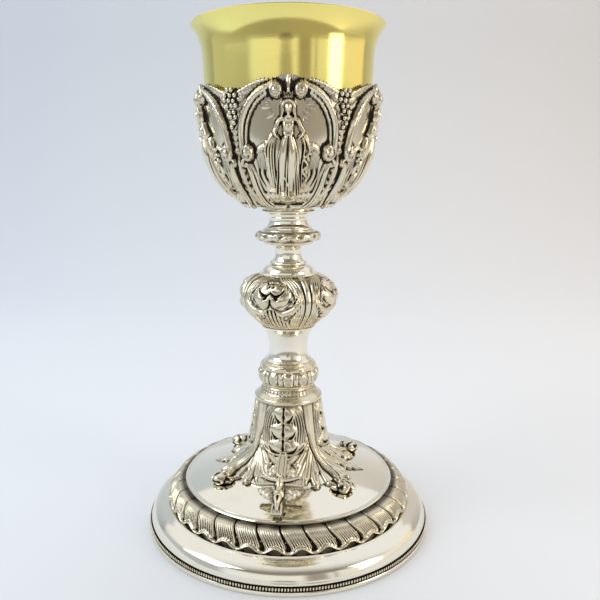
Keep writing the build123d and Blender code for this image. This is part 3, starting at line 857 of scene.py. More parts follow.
def grapes():
    rows = [
        (217.2, (-1.3, 1.3)), (215.2, (-2.7, 0.1, 2.6)), (212.9, (-3.2, -0.7, 1.9)), (210.6, (-1.9, 0.7, 3.0)),
        (208.2, (-1.0, 1.5)), (205.9, (-0.2, 2.0)), (203.6, (0.9,)), (201.6, (-0.2,))
    ]
    centres, radii, out = [], [], []
    for c in range(CARTOUCHES):
        for z, places in rows:
            for x in places:
                zz = z + rng.uniform(-0.3, 0.3)
                r = np.interp(zz, SHELL[:, 1], SHELL[:, 0]) + 0.85 + rng.uniform(-0.15, 0.3)
                a = math.radians(36 + 72 * c) + (x + rng.uniform(-0.2, 0.2)) / r
                centres.append((r * math.sin(a), -r * math.cos(a), zz))
                radii.append(rng.uniform(1.08, 1.28))
                out.append((math.sin(a), -math.cos(a), 0))
    verts, faces, unit = spheres(centres, radii)
    # painted shade: each grape darkens on the side that faces the shell
    facing = (unit.reshape(len(centres), -1, 3) * np.asarray(out)[:, None]).sum(-1).ravel()
    cavity = np.interp(facing, [-0.2, 0.55], [0.6, 0.0])
    ob = make_object("grape_clusters", verts, faces, chased, {"cavity": cavity, "ground": np.zeros(len(verts))})
    return piece(ob, "stand", None, "relief_silver")


grapes()


# ---- standing figures in the cartouches ----------------------------------------------------------------
def figure_relief(turned, sway):
    """A robed figure, hands low and out, its cloak caught up at the elbows. turned mirrors it."""
    nu, nv = int(190 * DETAIL), int(260 * DETAIL)
    rows = SHELL[(SHELL[:, 1] > 168.0) & (SHELL[:, 1] < 215.8)]
    f = Relief(rows, np.linspace(-19, 19, nu), nv, "z", False)
    m = -1 if turned else 1

    def mm(path):
        """Rows given in mm from the cartouche's middle line."""
        return [(m * math.degrees(x / np.interp(z, f.z, f.r)), z, w, h) for x, z, w, h in path]

    def draw(path, shape=bump, mode="max", n=7, dark=0.0):
        f.stroke(mm(path), shape, mode, n=n, dark=dark)

    def knob(x, z, wide, tall, height, lean=0.0, **more):
        f.dome(m * math.degrees(x / np.interp(z, f.z, f.r)), z, wide, tall, height, lean=m * lean, **more)

    # cloak: caught at the left elbow, ruffled at its outer edge and falling in long folds
    draw(
        [
            (-6.0, 199.6, 1.0, 1.6), (-7.6, 196.0, 1.7, 1.7), (-8.2, 190.5, 2.2, 1.5), (-7.6, 184.0, 2.0, 1.4),
            (-6.2, 176.5, 1.4, 1.2)
        ]
    )
    for x0, x1, x2, x3 in (
        (-6.4, -9.6, -9.3, -7.6), (-6.0, -8.3, -8.4, -6.9), (-5.6, -7.1, -7.3, -6.0), (-5.0, -6.0, -6.2, -5.2)
    ):
        draw(
            [
                (x0, 199.0, 0.35, 2.0), (x1, 193.6, 0.6, 2.5), (x2, 187.0 + sway, 0.6, 2.2),
                (x3, 177.0 + 2 * sway, 0.4, 1.6)
            ]
        )
    for x, z, lean in (
        (-9.3, 195.2, 40), (-10.2, 193.2, 20), (-10.1, 191.0, -10), (-9.3, 188.9, -35), (-8.4, 184.6, -10)
    ):
        knob(x, z, 0.75, 1.05, 2.2, lean)
    # and on the right it drops in folds turned back on themselves
    draw(
        [
            (5.9, 199.4, 1.0, 1.6), (7.4, 195.6, 1.7, 1.7), (7.6, 190.0, 1.9, 1.5), (7.0, 183.0, 1.8, 1.3),
            (6.2, 176.5, 1.2, 1.2)
        ]
    )
    draw([
        (6.2, 198.6, 0.4, 2.3), (8.4, 194.6, 0.65, 2.7), (9.0, 191.0, 0.6, 2.4), (6.6, 188.6, 0.6, 2.5),
        (8.2, 185.8, 0.65, 2.5), (6.0, 183.4, 0.6, 2.4), (7.8, 180.4, 0.6, 2.3), (5.9, 177.6, 0.5, 2.1),
        (7.0, 175.2, 0.35, 1.6)
    ], n=6)
    draw(
        [
            (5.6, 198.0, 0.4, 2.3), (6.9, 193.8, 0.6, 2.6), (6.4, 189.6, 0.5, 2.4), (5.6, 184.4, 0.45, 2.3),
            (5.4, 176.0, 0.35, 1.7)
        ]
    )
    for x, z, lean in ((9.6, 193.0, -20), (9.8, 190.4, 15), (8.9, 188.0, 40)):
        knob(x, z, 0.7, 0.95, 2.0, lean)
    # gown: narrow at the belt, two long limbs under the cloth and folds that gather at the hem
    draw([
        (0, 198.4, 2.5, 2.6), (0, 194.2, 3.7, 3.0), (0, 188.6, 4.6, 2.9), (-0.2, 181.0, 4.7, 2.6),
        (0, 173.8, 5.0, 2.1)
    ], FLAT_TOP)
    draw([(-0.9, 197.8, 1.2, 3.3), (-1.9, 192.0, 1.9, 4.1), (-2.3, 185.0, 1.6, 3.8), (-2.5, 176.0, 1.1, 3.0)])
    draw(
        [(0.9, 197.8, 1.2, 3.3), (1.5, 192.0, 2.1, 4.3), (1.3 + sway, 185.0, 1.8, 4.1), (1.1 + sway, 176.0, 1.2, 3.2)]
    )
    for x0, x1, x2 in (
        (-2.3, -4.3, -4.6), (-1.5, -3.4, -3.5), (-0.2, -0.5, -0.8), (0.3, 0.1, 0.1), (1.8, 3.2, 2.6), (2.3, 4.2, 4.4),
        (2.1, 3.8, 3.6)
    ):
        draw(
            [
                (x0, 197.6, 0.25, 2.7), (x1, 189.5 + 0.8 * math.sin(5 * x1), 0.38, 3.4 - 0.13 * abs(x1)),
                (x2, 181.5, 0.4, 3.5 - 0.15 * abs(x2)), (x2 * 1.12, 173.4, 0.55, 3.0 - 0.14 * abs(x2))
            ]
        )
    draw([(-3.6, 183.5, 0.3, 3.0), (-1.2, 180.6, 0.45, 3.6), (0.4, 176.0, 0.3, 3.2)])
    # bodice and belt
    draw([(0, 204.2, 3.0, 2.6), (0, 201.6, 2.9, 3.1), (0, 199.0, 2.3, 2.8)], FLAT_TOP)
    knob(-1.35, 202.4, 1.5, 1.4, 0.75, shape=soft, mode="add")
    knob(1.35, 202.4, 1.5, 1.4, 0.75, shape=soft, mode="add")
    draw([(-2.5, 199.2, 0.35, 2.9), (0, 198.7, 0.42, 3.7), (2.5, 199.2, 0.35, 2.9)], n=5)
    draw([
        (-2.6, 205.0, 0.22, 0.3), (-1.2, 204.2, 0.28, 0.45), (0, 203.9, 0.28, 0.45), (1.2, 204.2, 0.28, 0.45),
        (2.6, 205.0, 0.22, 0.3)
    ], soft, "add", n=5)
    for k in range(3):
        draw([
            (-2.2 + 0.5 * k, 201.0 - 0.5 * k, 0.2, -0.35), (0, 200.2 - 0.45 * k, 0.22, -0.4),
            (2.2 - 0.5 * k, 201.0 - 0.5 * k, 0.2, -0.35)
        ], soft, "add", n=5, dark=0.35)
    # shoulders, and arms in full sleeves that bend back towards the belt
    for side, out in ((-1, 0.0), (1, 0.35)):
        draw(
            [
                (side * 1.8, 204.9, 1.0, 2.8), (side * 3.7, 204.3, 1.15, 3.1), (side * 4.9, 202.0, 1.15, 3.3),
                (side * (5.8 + out), 199.8, 1.15, 3.5)
            ]
        )
        draw(
            [
                (side * (5.8 + out), 199.9, 1.0, 3.6), (side * (5.3 + out), 198.5, 0.9, 3.8),
                (side * (4.4 + out), 197.7, 0.75, 3.9)
            ]
        )
        knob(side * (3.8 + 1.3 * out), 197.2, 0.6, 0.85, 4.1, -side * 25)
        for k in range(3):
            draw([
                (side * (3.9 + 0.5 * k), 203.4 - 0.5 * k, 0.18, -0.3),
                (side * (5.6 + 0.25 * k), 200.8 - 0.4 * k, 0.2, -0.4)
            ], soft, "add", n=4, dark=0.35)
    # neck, hair and head; the face is a plain oval with brow, nose, mouth and chin
    draw([(0, 205.0, 1.15, 2.6), (0, 207.0, 1.0, 3.1)], n=4)
    knob(0, 209.6, 3.0, 3.4, 3.5)
    for side in (-1, 1):
        draw([
            (side * 1.5, 212.0, 0.8, 3.4), (side * 2.4, 209.9, 0.95, 3.5), (side * 2.35, 207.6, 0.95, 3.4),
            (side * 2.9, 205.6, 0.6, 3.3)
        ], n=5)
        draw([(side * 0.5, 212.5, 0.5, 3.5), (side * 1.9, 211.2, 0.45, 3.7), (side * 2.1, 208.6, 0.4, 3.5)], n=5)
    knob(0, 209.2, 1.7, 2.35, 4.2)
    for side in (-1, 1):
        knob(side * 0.62, 209.7, 0.45, 0.3, -0.32, shape=soft, mode="add", dark=0.12)
    draw([(0, 210.2, 0.3, 0.1), (0, 208.8, 0.36, 0.45)], soft, "add", n=4)
    knob(0, 208.0, 0.55, 0.2, -0.2, shape=soft, mode="add", dark=0.1)
    knob(0, 207.35, 0.6, 0.5, 0.3, shape=soft, mode="add")
    # toes on a small cloud
    for side in (-1, 1):
        knob(side * 1.9, 172.4, 1.0, 0.7, 2.8, side * 15)
        for k in range(3):
            knob(side * (1.8 + 3.2 * k), 170.7 - 0.4 * k, 1.7, 1.15, 1.9 - 0.3 * k)
    knob(0, 170.4, 2.0, 1.0, 2.0)
    return f


def raised_part(name, relief, pts, cavity, ground, mat, keep):
    """The faces of a relief's grid that rise above keep mm, with its points at pts, as a sheet of their own."""
    faces = grid_faces(*relief.H.shape)
    faces = faces[relief.H.ravel()[faces].max(1) > keep]
    used = np.unique(faces)
    back = np.zeros(relief.H.size, int)
    back[used] = np.arange(len(used))
    attrs = {"cavity": cavity.ravel()[used], "ground": ground.ravel()[used]}
    return make_object(name, pts.reshape(-1, 3)[used], back[faces], mat, attrs)


def cartouche_figure(number, relief, lift=0.1, cavity_scales=(0.25, 0.7), keep=0.02):
    """The standing figure of one cartouche, raised by lift off the false cup."""
    relief.soften()
    cavity = relief.cavity(*cavity_scales)
    pts = relief.points(lift)
    turn_grid(pts, 360 / CARTOUCHES * number)
    return raised_part(f"cartouche_figure_{number + 1}", relief, pts, cavity, relief.dark, chased, keep)


SWAYS = (0.0, 0.5, -0.4, 0.8, -0.7)  # how far each gown's folds lean, in mm
for k in range(CARTOUCHES):
    fig = figure_relief(k % 2 == 1, SWAYS[k])
    fig.dark[:] = np.where(fig.dark > 0.9, 0.0, fig.dark)  # only cut lines are dark
    piece(cartouche_figure(k, fig), "stand", None, "relief_silver")


# ---- wreath collar --------------------------------------------------------------------------------------
def full_turn(n, copies):
    """Degrees over one of a ring's repeats, for about n samples all the way round."""
    per = max(24, int(n * DETAIL / copies))
    return np.linspace(-180 / copies, 180 / copies, per, endpoint=False)


def wreath():
    copies = 11
    rows = profile(
        [(BORE, 147.2), (11.9, 147.2)], [(12.5, 147.5), (12.6, 148.1), (13.0, 148.4)],
        [(15.2, 149.2), (16.1, 150.9), (15.7, 152.5), (14.0, 153.5)], [(13.0, 153.7), (12.9, 154.2), (12.4, 154.55)],
        step=0.2
    )
    f = Relief(rows, full_turn(700, copies), int(110 * DETAIL), "z", True)
    f.dark[:] = np.where((f.K > 148.5) & (f.K < 153.4), 0.9, 0.0)
    pitch = 360 / copies
    for shift in (-2, -1, 0, 1, 2):
        c = shift * pitch
        f.stroke([
            (c - 21, 149.4, 0.3, 0.35), (c - 6, 150.4, 1.15, 0.75), (c + 10, 151.9, 1.15, 0.85),
            (c + 24, 152.9, 0.25, 0.5)
        ], vein_leaf, "over", n=8, dark=0.0)
        f.stroke([
            (c - 14, 152.9, 0.3, 0.3), (c + 1, 151.7, 1.1, 0.85), (c + 15, 150.2, 1.05, 0.95),
            (c + 28, 149.2, 0.2, 0.5)
        ], vein_leaf, "over", n=8, dark=0.0)
    inner = np.array([(BORE, 154.55), (BORE, 147.25)])
    return relief_ring("wreath_leaves", f, inner, chased, copies, (0.2, 0.6))


piece(wreath(), "stand", "wreath_collar", "relief_silver")


# ---- knop -------------------------------------------------------------------------------------------------
KNOP_TURN = -21.0


KNOP_ROWS = profile([
    (13.7, 105.05), (15.2, 107.1), (17.2, 109.4), (19.8, 112.2), (22.1, 115.4), (23.3, 119.3), (23.0, 122.9),
    (21.3, 126.7), (18.2, 129.7), (15.2, 131.0), (14.0, 131.3)
], step=0.3)


def knop_relief():
    f = Relief(KNOP_ROWS, KNOP_TURN + full_turn(960, 4), int(230 * DETAIL), "z", True)
    c = KNOP_TURN
    f.H[:] = np.interp(f.K, [105.2, 108.5, 129.5, 131.2], [0.0, 0.35, 0.35, 0.1])
    f.dark[:] = np.interp(f.K, [105.6, 108.0, 130.2, 131.2], [0.1, 0.8, 0.8, 0.2])
    flat_top = blunt(4, 0.7)

    def cut(rows, dark=1.0, n=7):
        """A dark chased line; rows are (degrees from the leaf's middle, height, half width, depth)."""
        f.cut([(c + side * t, z, w, -d) for t, z, w, d in rows], n=n, dark=dark)

    def swell(rows, n=7):
        f.stroke([(c + side * t, z, w, h) for t, z, w, h in rows], bump, n=n)

    for side in (-1, 1):
        # long ribs from the cap, round the hood and down to the baluster
        for k in range(5):
            swell(
                [
                    (7 + 4.6 * k, 131.1, 0.4, 0.7), (19 + 4.0 * k, 128.2, 0.66, 1.15),
                    (26.2 + 3.1 * k, 122.4, 0.72, 1.35), (27.6 + 2.9 * k, 116.0, 0.7, 1.3),
                    (25.0 + 3.4 * k, 109.8, 0.62, 1.0), (22.5 + 3.8 * k, 106.0, 0.4, 0.3)
                ]
            )
        # strap between two leaves
        f.stroke([
            (c + side * 45, 131.1, 1.3, 0.9), (c + side * 45, 124.0, 1.6, 1.45), (c + side * 45, 117.0, 1.6, 1.45),
            (c + side * 45, 110.0, 1.35, 1.05), (c + side * 45, 106.0, 1.1, 0.3)
        ], flat_top, n=7)
        # ribs fanning below the hood
        for k in range(4):
            swell(
                [
                    (2.4 + 4.4 * k, 117.6 - 0.4 * k, 0.5, 1.2), (2.8 + 5.2 * k, 112.6, 0.95, 1.35),
                    (3.2 + 5.6 * k, 108.0, 0.75, 0.8), (3.4 + 5.8 * k, 105.9, 0.5, 0.25)
                ]
            )
        # leaves that turn out below it
        swell(
            [
                (5, 117.6, 0.6, 1.5), (12, 115.5, 1.5, 2.0), (22, 116.2, 1.9, 2.3), (31, 119.0, 1.2, 1.9),
                (37, 122.0, 0.4, 1.2)
            ]
        )
        swell([(25, 122.4, 0.5, 1.4), (29.5, 124.8, 0.9, 1.6), (30.5, 127.0, 0.4, 1.2)], 5)
    # the hooded leaf: a broad cup with two dark eyes, one above the other
    f.dome(c, 124.2, 10.3, 7.2, -0.6, shape=flat_top, mode="add", dark=0.9)
    f.dome(c, 124.2, 9.8, 6.8, 1.6, base=0.55, shape=flat_top)
    for side in (-1, 1):
        f.press(c + side * 11.0, 121.8, 5.6, 3.9, 0.6, lean=side * 20)
        f.press(c + side * 7.5, 126.9, 3.2, 1.9, 0.5, lean=-side * 25)
        # hooks of shadow under the turned-out leaves
        cut([(11.0, 112.9, 0.3, 1.0), (17.5, 111.9, 0.62, 1.8), (25.0, 113.6, 0.4, 1.4), (30.0, 116.2, 0.2, 0.8)])
        f.press(c + side * 18.0, 111.6, 1.1, 0.7, -1.2, dark=1.0)
        f.press(c + side * 12.5, 117.5, 1.9, 0.75, -1.7, lean=side * 12, dark=1.0)
        f.press(c + side * 24.5, 119.6, 1.3, 0.7, -1.5, lean=side * 35, dark=1.0)
        cut([(21.5, 119.0, 0.3, 1.0), (27.5, 120.4, 0.45, 1.5), (32.0, 123.4, 0.2, 0.8)], 1.0, 5)
        cut([(26.0, 125.6, 0.2, 0.7), (27.8, 123.4, 0.4, 1.2), (27.4, 121.4, 0.25, 0.8)], 1.0, 5)
        # lower lip, drawn up to a point between its two cups
        cut(
            [
                (22.5, 122.6, 0.25, 0.8), (20.0, 119.9, 0.42, 1.3), (11.5, 117.9, 0.5, 1.6), (4.0, 118.1, 0.5, 1.6),
                (0.4, 120.2, 0.45, 1.5), (0, 121.9, 0.3, 1.1)
            ]
        )
        # lower eye
        cut(
            [
                (16.8, 126.6, 0.22, 0.9), (13.2, 124.7, 0.45, 1.5), (6.0, 123.4, 0.72, 2.0), (1.6, 124.3, 0.45, 1.7),
                (0, 124.9, 0.3, 1.4)
            ]
        )
        f.press(c + side * 6.4, 122.5, 1.6, 1.0, -1.9, lean=-side * 24, dark=1.0)
        f.press(c + side * 9.4, 123.4, 1.1, 0.6, -1.2, lean=side * 20, dark=1.0)
        # upper eye
        cut([(9.6, 129.4, 0.2, 0.8), (6.0, 128.2, 0.42, 1.3), (2.2, 128.0, 0.4, 1.4), (0, 128.7, 0.3, 1.1)], 1.0, 5)
        f.press(c + side * 2.6, 127.0, 0.9, 0.8, -1.2, dark=0.9)
        cut([(20.0, 128.0, 0.2, 0.6), (19.8, 124.8, 0.3, 0.8)], 0.7, 5)
    side = 1
    cut([(3.6, 131.0, 0.25, 0.9), (1.4, 129.9, 0.36, 1.2), (0.2, 128.6, 0.25, 0.9)], 1.0, 5)
    f.press(c, 126.9, 0.9, 0.7, 0.5)
    return f


knop = knop_relief()
knop_inner = profile([
    (13.0, 130.9), (15.4, 130.0), (18.4, 128.8), (21.4, 126.2), (23.1, 122.8), (23.4, 119.5), (22.5, 115.9),
    (20.4, 112.9), (17.4, 110.2), (15.0, 108.1), (12.9, 105.05)
], step=1.5)
piece(
    relief_ring("knop_shell", knop, knop_inner, chased, 4, (0.3, 0.8)), "stand",
    ["knop_lower_half", "knop_upper_half"], "relief_silver"
)


# ---- gadroon ring and drip collar ---------------------------------------------------------------------------
def gadroon():
    copies = 12
    rows = profile(
        [(BORE, 73.4), (12.7, 73.4)], [(13.4, 73.9), (13.5, 74.6), (13.9, 74.9)],
        [(15.0, 76.4), (15.35, 78.8), (14.9, 81.2), (13.9, 82.4)],
        [(14.4, 82.7), (14.5, 83.9), (14.0, 84.9), (12.9, 85.4)], [(12.8, 85.95)], step=0.25
    )
    f = Relief(rows, full_turn(760, copies), int(130 * DETAIL), "z", True)
    band = (f.K > 75.0) & (f.K < 82.3)
    f.dark[:] = np.where(band, 1.0, 0.0)
    f.stroke([(0, 76.2, 2.2, 0.85), (0, 79.0, 2.95, 1.1), (0, 81.6, 2.6, 0.95)], blunt(3, 1), n=5)
    f.cut([(-5, 80.9, 0.4, -0.25), (0, 81.7, 0.4, -0.3), (5, 80.9, 0.4, -0.25)], n=4, dark=0.3)
    for k in range(5):
        t = (k - 2) / 2
        f.cut([(2.0 * t, 76.6, 0.22, -0.3), (6.2 * t, 79.8, 0.3, -0.45)], n=4, dark=0.45)
    f.stroke([
        (-7.0, 79.6, 0.2, 1.1), (-3.6, 80.9, 0.35, 1.35), (0, 80.2, 0.35, 1.45), (3.6, 80.9, 0.35, 1.35),
        (7.0, 79.6, 0.2, 1.1)
    ], bump, n=4)
    for side in (-1, 1):
        f.stroke([
            (side * 15, 76.2, 0.45, 0.75), (side * 15, 79.0, 0.75, 1.0), (side * 15, 81.6, 0.6, 0.8)
        ], bump, n=5)
        f.stroke([
            (side * 12.1, 75.8, 0.36, 0.7), (side * 12.5, 79.0, 0.5, 0.95), (side * 12.3, 81.8, 0.42, 0.8)
        ], bump, n=5)
    f.H *= 0.66
    return relief_ring("gadroon_lobes", f, np.array([(BORE, 85.95), (BORE, 73.45)]), chased, copies, (0.25, 0.7))


piece(gadroon(), "stand", "gadroon_ring", "relief_silver")


def drip_collar():
    copies = 40
    rows = profile(
        [(BORE, 65.95), (16.9, 65.95)], [(17.6, 66.3), (17.9, 67.2), (17.6, 68.2)],
        [(16.3, 69.0), (15.0, 69.9), (14.2, 70.7)], [(13.7, 72.2)], [(13.2, 72.5), (12.9, 73.35)], step=0.3
    )
    f = Relief(rows, full_turn(640, copies), int(70 * DETAIL), "z", True)
    # painted shade: the cavetto under the gadroon ring darkens, most towards its top
    f.dark[:] = np.interp(f.K, [69.3, 70.3, 72.2, 72.6], [0.0, 0.25, 0.4, 0.0])
    f.H[:] = np.where((f.K > 70.3) & (f.K < 72.2), 0.3, 0.0)
    f.cut([(-4.5, 70.7, 0.3, -0.45), (-4.5, 71.8, 0.3, -0.5)], n=3, dark=1.0)
    f.cut([(4.5, 70.7, 0.3, -0.45), (4.5, 71.8, 0.3, -0.5)], n=3, dark=1.0)
    return relief_ring("drip_collar_dentils", f, np.array([(BORE, 73.35), (BORE, 66.0)]), chased, copies, (0.2, 0.4))


piece(drip_collar(), "stand", "drip_collar", "plain_silver")


# ---- leaf sleeve round the foot's trumpet ----------------------------------------------------------------
SLEEVE_ROWS = profile(
    [(45.6, 24.7), (30.9, 27.2)], [(30.4, 27.9), (24.6, 31.6), (20.4, 36.4), (18.0, 41.3), (16.95, 46.0)],
    [(14.3, 65.9)], step=0.4
)
STRAP = [
    (49, 0.2, 3.1, 2.2), (48.5, 10, 2.8, 2.5), (50, 20, 2.25, 2.8), (54, 30, 1.7, 2.9), (58.5, 37, 1.45, 2.8),
    (59.5, 43, 1.4, 2.8), (56, 49, 1.6, 2.8)
]


def strap_section(x, t):
    """A midrib: flat crown, a fine line inside both edges."""
    return np.clip(1 - np.abs(x) ** 5, 0, 1) - 0.18 * np.exp(-(((np.abs(x) - 0.72) / 0.1) ** 2))


def lobe_section(x, t):
    """A cupped leaf lobe with a groove down the middle that fades to the tip."""
    return bump(x) ** 0.75 * (1 - (0.42 - 0.2 * t) * np.exp(-((x / 0.16) ** 2)))


def hooded_leaf(f, c):
    """A leaf bent over into three hoods, each over a dark eye, with ribs running down both sides."""
    f.stroke([
        (c, 0.0, 8.9, 1.9), (c, 5, 10.9, 2.5), (c, 14, 12.0, 2.9), (c, 20, 11.6, 3.3), (c, 24.2, 8.6, 3.4)
    ], FLAT_TOP, n=7)
    for side in (-1, 1):
        for k in range(6):
            f.cut([
                (c + side * (1.5 + 3.4 * k), 0.2, 0.28, -0.5), (c + side * (10.5 + 4.6 * k), 5.0, 0.42, -0.9),
                (c + side * (15.0 + 4.6 * k), 12.5, 0.46, -1.0),
                (c + side * (12.5 + 4.3 * k), 21.5 - 0.4 * k, 0.3, -0.7)
            ], n=6, dark=0.75)
    for k, (top, foot, half) in enumerate(((0.6, 8.6, 13.5), (9.0, 17.2, 16.5), (17.2, 24.8, 18.5))):
        lift = 3.1 + 0.35 * k
        tall = 0.5 * (foot - top)
        f.dome(c, 0.5 * (foot + top) + 0.2, half * 0.40, tall + 0.5, 1.5, base=lift - 1.2, shape=FLAT_TOP)
        f.cut([(c, top + 0.6, 0.4, -1.2), (c, top + tall, 0.5, -1.3), (c, foot - 0.3, 0.4, -1.3)], n=6, dark=1.0)
        f.press(c, top + 1.2, 0.9, 1.0, -1.3, dark=1.0)
        f.press(c, foot - 2.4, 1.0, 1.1, -1.3, dark=1.0)
        f.cut([
            (c - half * 1.12, foot - 3.4, 0.25, -1.3), (c - half * 0.9, foot - 1.2, 0.55, -2.0),
            (c - half * 0.45, foot + 0.5, 0.75, -2.3), (c, foot + 1.2, 0.6, -1.8),
            (c + half * 0.45, foot + 0.5, 0.75, -2.3), (c + half * 0.9, foot - 1.2, 0.55, -2.0),
            (c + half * 1.12, foot - 3.4, 0.25, -1.3)
        ], n=6, dark=1.0)
        f.press(c, foot + 2.2, 1.0, 1.9, -1.8, dark=1.0)
        f.press(c - half * 0.42, foot + 1.5, 1.5, 1.15, -1.6, lean=30, dark=1.0)
        f.press(c + half * 0.42, foot + 1.5, 1.5, 1.15, -1.6, lean=-30, dark=1.0)
    f.stroke([
        (c - 34, 20.8, 0.5, 3.3), (c - 22, 24.6, 0.8, 4.0), (c, 26.2, 0.95, 4.7), (c + 22, 24.6, 0.8, 4.0),
        (c + 34, 20.8, 0.5, 3.3)
    ], bump, n=7)


def leaf_fan(f, strap_at, side, tips):
    """Lobes that spring from beside a midrib and run out to their tips; side is -1 towards lower degrees."""
    for (root, turn, down, wide, height) in tips:
        wide = 1.28 * wide
        at = strap_at + side * root[0]
        mid_turn = at + 0.58 * (turn - at)
        mid_down = root[1] + 0.50 * (down - root[1])
        path = [
            (at, root[1], wide * 0.28, height * 0.9), (mid_turn, mid_down, wide * 0.72, height),
            (at + 0.90 * (turn - at), root[1] + 0.84 * (down - root[1]), wide, height * 1.05),
            (turn, down, wide * 0.55, height * 0.9)
        ]
        f.stroke(path, lobe_section, n=7)
        f.dome(turn, down - wide * 0.55, wide * 0.85, wide * 0.95, height * 1.1)
        for k in (-1, 1):
            off = k * wide * 0.42 * 57.3 / 27
            f.cut([
                (at + off * 0.2, root[1] + 1, 0.16, -0.35), (mid_turn + off * 0.7, mid_down, 0.22, -0.45),
                (at + 0.90 * (turn - at) + off * 0.8, root[1] + 0.82 * (down - root[1]), 0.16, -0.35)
            ], n=6, dark=0.4)


def sleeve_relief():
    turn = np.linspace(-90, 90, int(400 * DETAIL), endpoint=False)
    f = Relief(SLEEVE_ROWS, turn, int(210 * DETAIL), "s", True)
    f.key = f.s[-1] - f.s
    f.K = np.broadcast_to(f.key, f.H.shape)
    f.H[:] = np.where(f.K < 22, 0.9, np.interp(f.K, [22, 27], [0.9, 0.0]))
    inner = [
        ((-7.0, 17), 35, 24.5, 1.3, 3.0), ((-6.0, 21), 18.5, 32.5, 1.5, 2.6), ((-5.5, 22), 16.0, 39.5, 1.9, 2.3),
        ((-4.5, 23), 25.0, 42.0, 1.9, 2.4), ((-3.5, 25), 34.5, 45.5, 2.1, 2.4), ((-2.5, 27), 41.0, 39.0, 1.6, 2.4),
        ((0.0, 31), 48.0, 47.0, 1.5, 2.0)
    ]
    outer = [
        ((1.5, 15), 68, 24.0, 1.3, 3.0), ((0.5, 18), 84, 33.0, 1.6, 2.7), ((0, 20), 80, 40.0, 1.8, 2.5),
        ((0, 23), 75, 45.0, 2.0, 2.4), ((-0.5, 26), 70, 48.5, 2.2, 2.3), ((-1.5, 31), 66, 46.5, 1.6, 2.2),
        ((-1.5, 33), 63.5, 50.0, 1.4, 2.0)
    ]
    for c in (-90, 90, 0):
        hooded_leaf(f, c)
    for c in (-90, 90):
        f.stroke([
            (c, 25.5, 1.2, 1.8), (c, 33, 3.6, 2.0), (c, 40, 3.9, 1.9), (c, 46.5, 2.9, 1.7), (c, 51.5, 1.5, 1.4),
            (c, 54.6, 0.25, 0.9)
        ], lobe_section, n=8)
        for down, reach, wide in (
            (36.5, 10.5, 1.7), (40.5, 9.3, 1.6), (44.2, 7.4, 1.4), (47.6, 5.2, 1.2), (50.6, 3.2, 0.9)
        ):
            for side in (-1, 1):
                f.stroke([
                    (c, down - 5.5, 0.4, 1.7), (c + side * 0.55 * reach, down - 2.6, wide * 0.8, 2.0),
                    (c + side * reach, down, wide * 0.6, 1.5)
                ], lobe_section, n=5)
    for side in (-1, 1):
        leaf_fan(f, side * 50, side, [((r[0], r[1]), side * t, d, w, h) for r, t, d, w, h in inner])
        leaf_fan(f, side * 52, -side, [((r[0], r[1]), side * t, d, w, h) for r, t, d, w, h in outer])
        strap = [(side * t, d, w, h) for t, d, w, h in STRAP]
        for off in (-1, 1):
            f.cut([
                (t + off * math.degrees((w + 0.35) / (15 + 0.4 * d)), d, 0.4, -1.3) for t, d, w, h in strap
            ], n=7, dark=0.9)
        f.stroke(strap, strap_section, "over", n=8)
        # small scrolls where the lobes leave the hooded leaf
        for at in (38, 64):
            f.dome(side * at, 22.0, 1.35, 1.5, 3.6, lean=side * 20)
            f.press(side * at, 22.2, 0.45, 0.5, -1.4, dark=0.9)
    return f


def sleeve():
    f = sleeve_relief()
    f.dark[:] = np.where(f.H < 1.0, 1.0, f.dark)
    # painted shadow: the sleeve's top darkens fully under the drip collar's edge
    f.dark = np.maximum(f.dark, np.interp(f.K, [0.0, 0.5, 1.6], [1.0, 1.0, 0.0]))
    copies = 2
    inner = np.array(
        [
            (13.6, 65.9), (16.3, 46.0), (17.4, 41.3), (19.7, 36.2), (23.8, 31.2), (29.9, 27.0), (30.9, 26.75),
            (45.5, 24.4)
        ]
    )
    f.turn = f.turn + FRONT_TURN + SLEEVE_SLIP
    turn_grid(f.P, SLEEVE_TURN)
    turn_grid(f.N, SLEEVE_TURN)
    return relief_ring("acanthus_sleeve", f, inner, chased, copies, (0.3, 0.8))


piece(sleeve(), "stand", "leaf_sleeve", "relief_silver")


PLATE_SLOPE = 0.155  # how far the foot plate's face rises per millimetre towards the axis


def on_foot(turn, r, lift=0.0):
    """A point above the foot plate's face, and its outward and tangent directions."""
    a = math.radians(turn)
    out = np.array([math.sin(a), -math.cos(a), 0.0])
    side = np.array([math.cos(a), math.sin(a), 0.0])
    z = 23.6 + (55.1 - r) * PLATE_SLOPE + lift
    return out * r + np.array([0, 0, z]), out, side


TIP_TURNS = (51.5, 128.5, 231.5, 308.5)


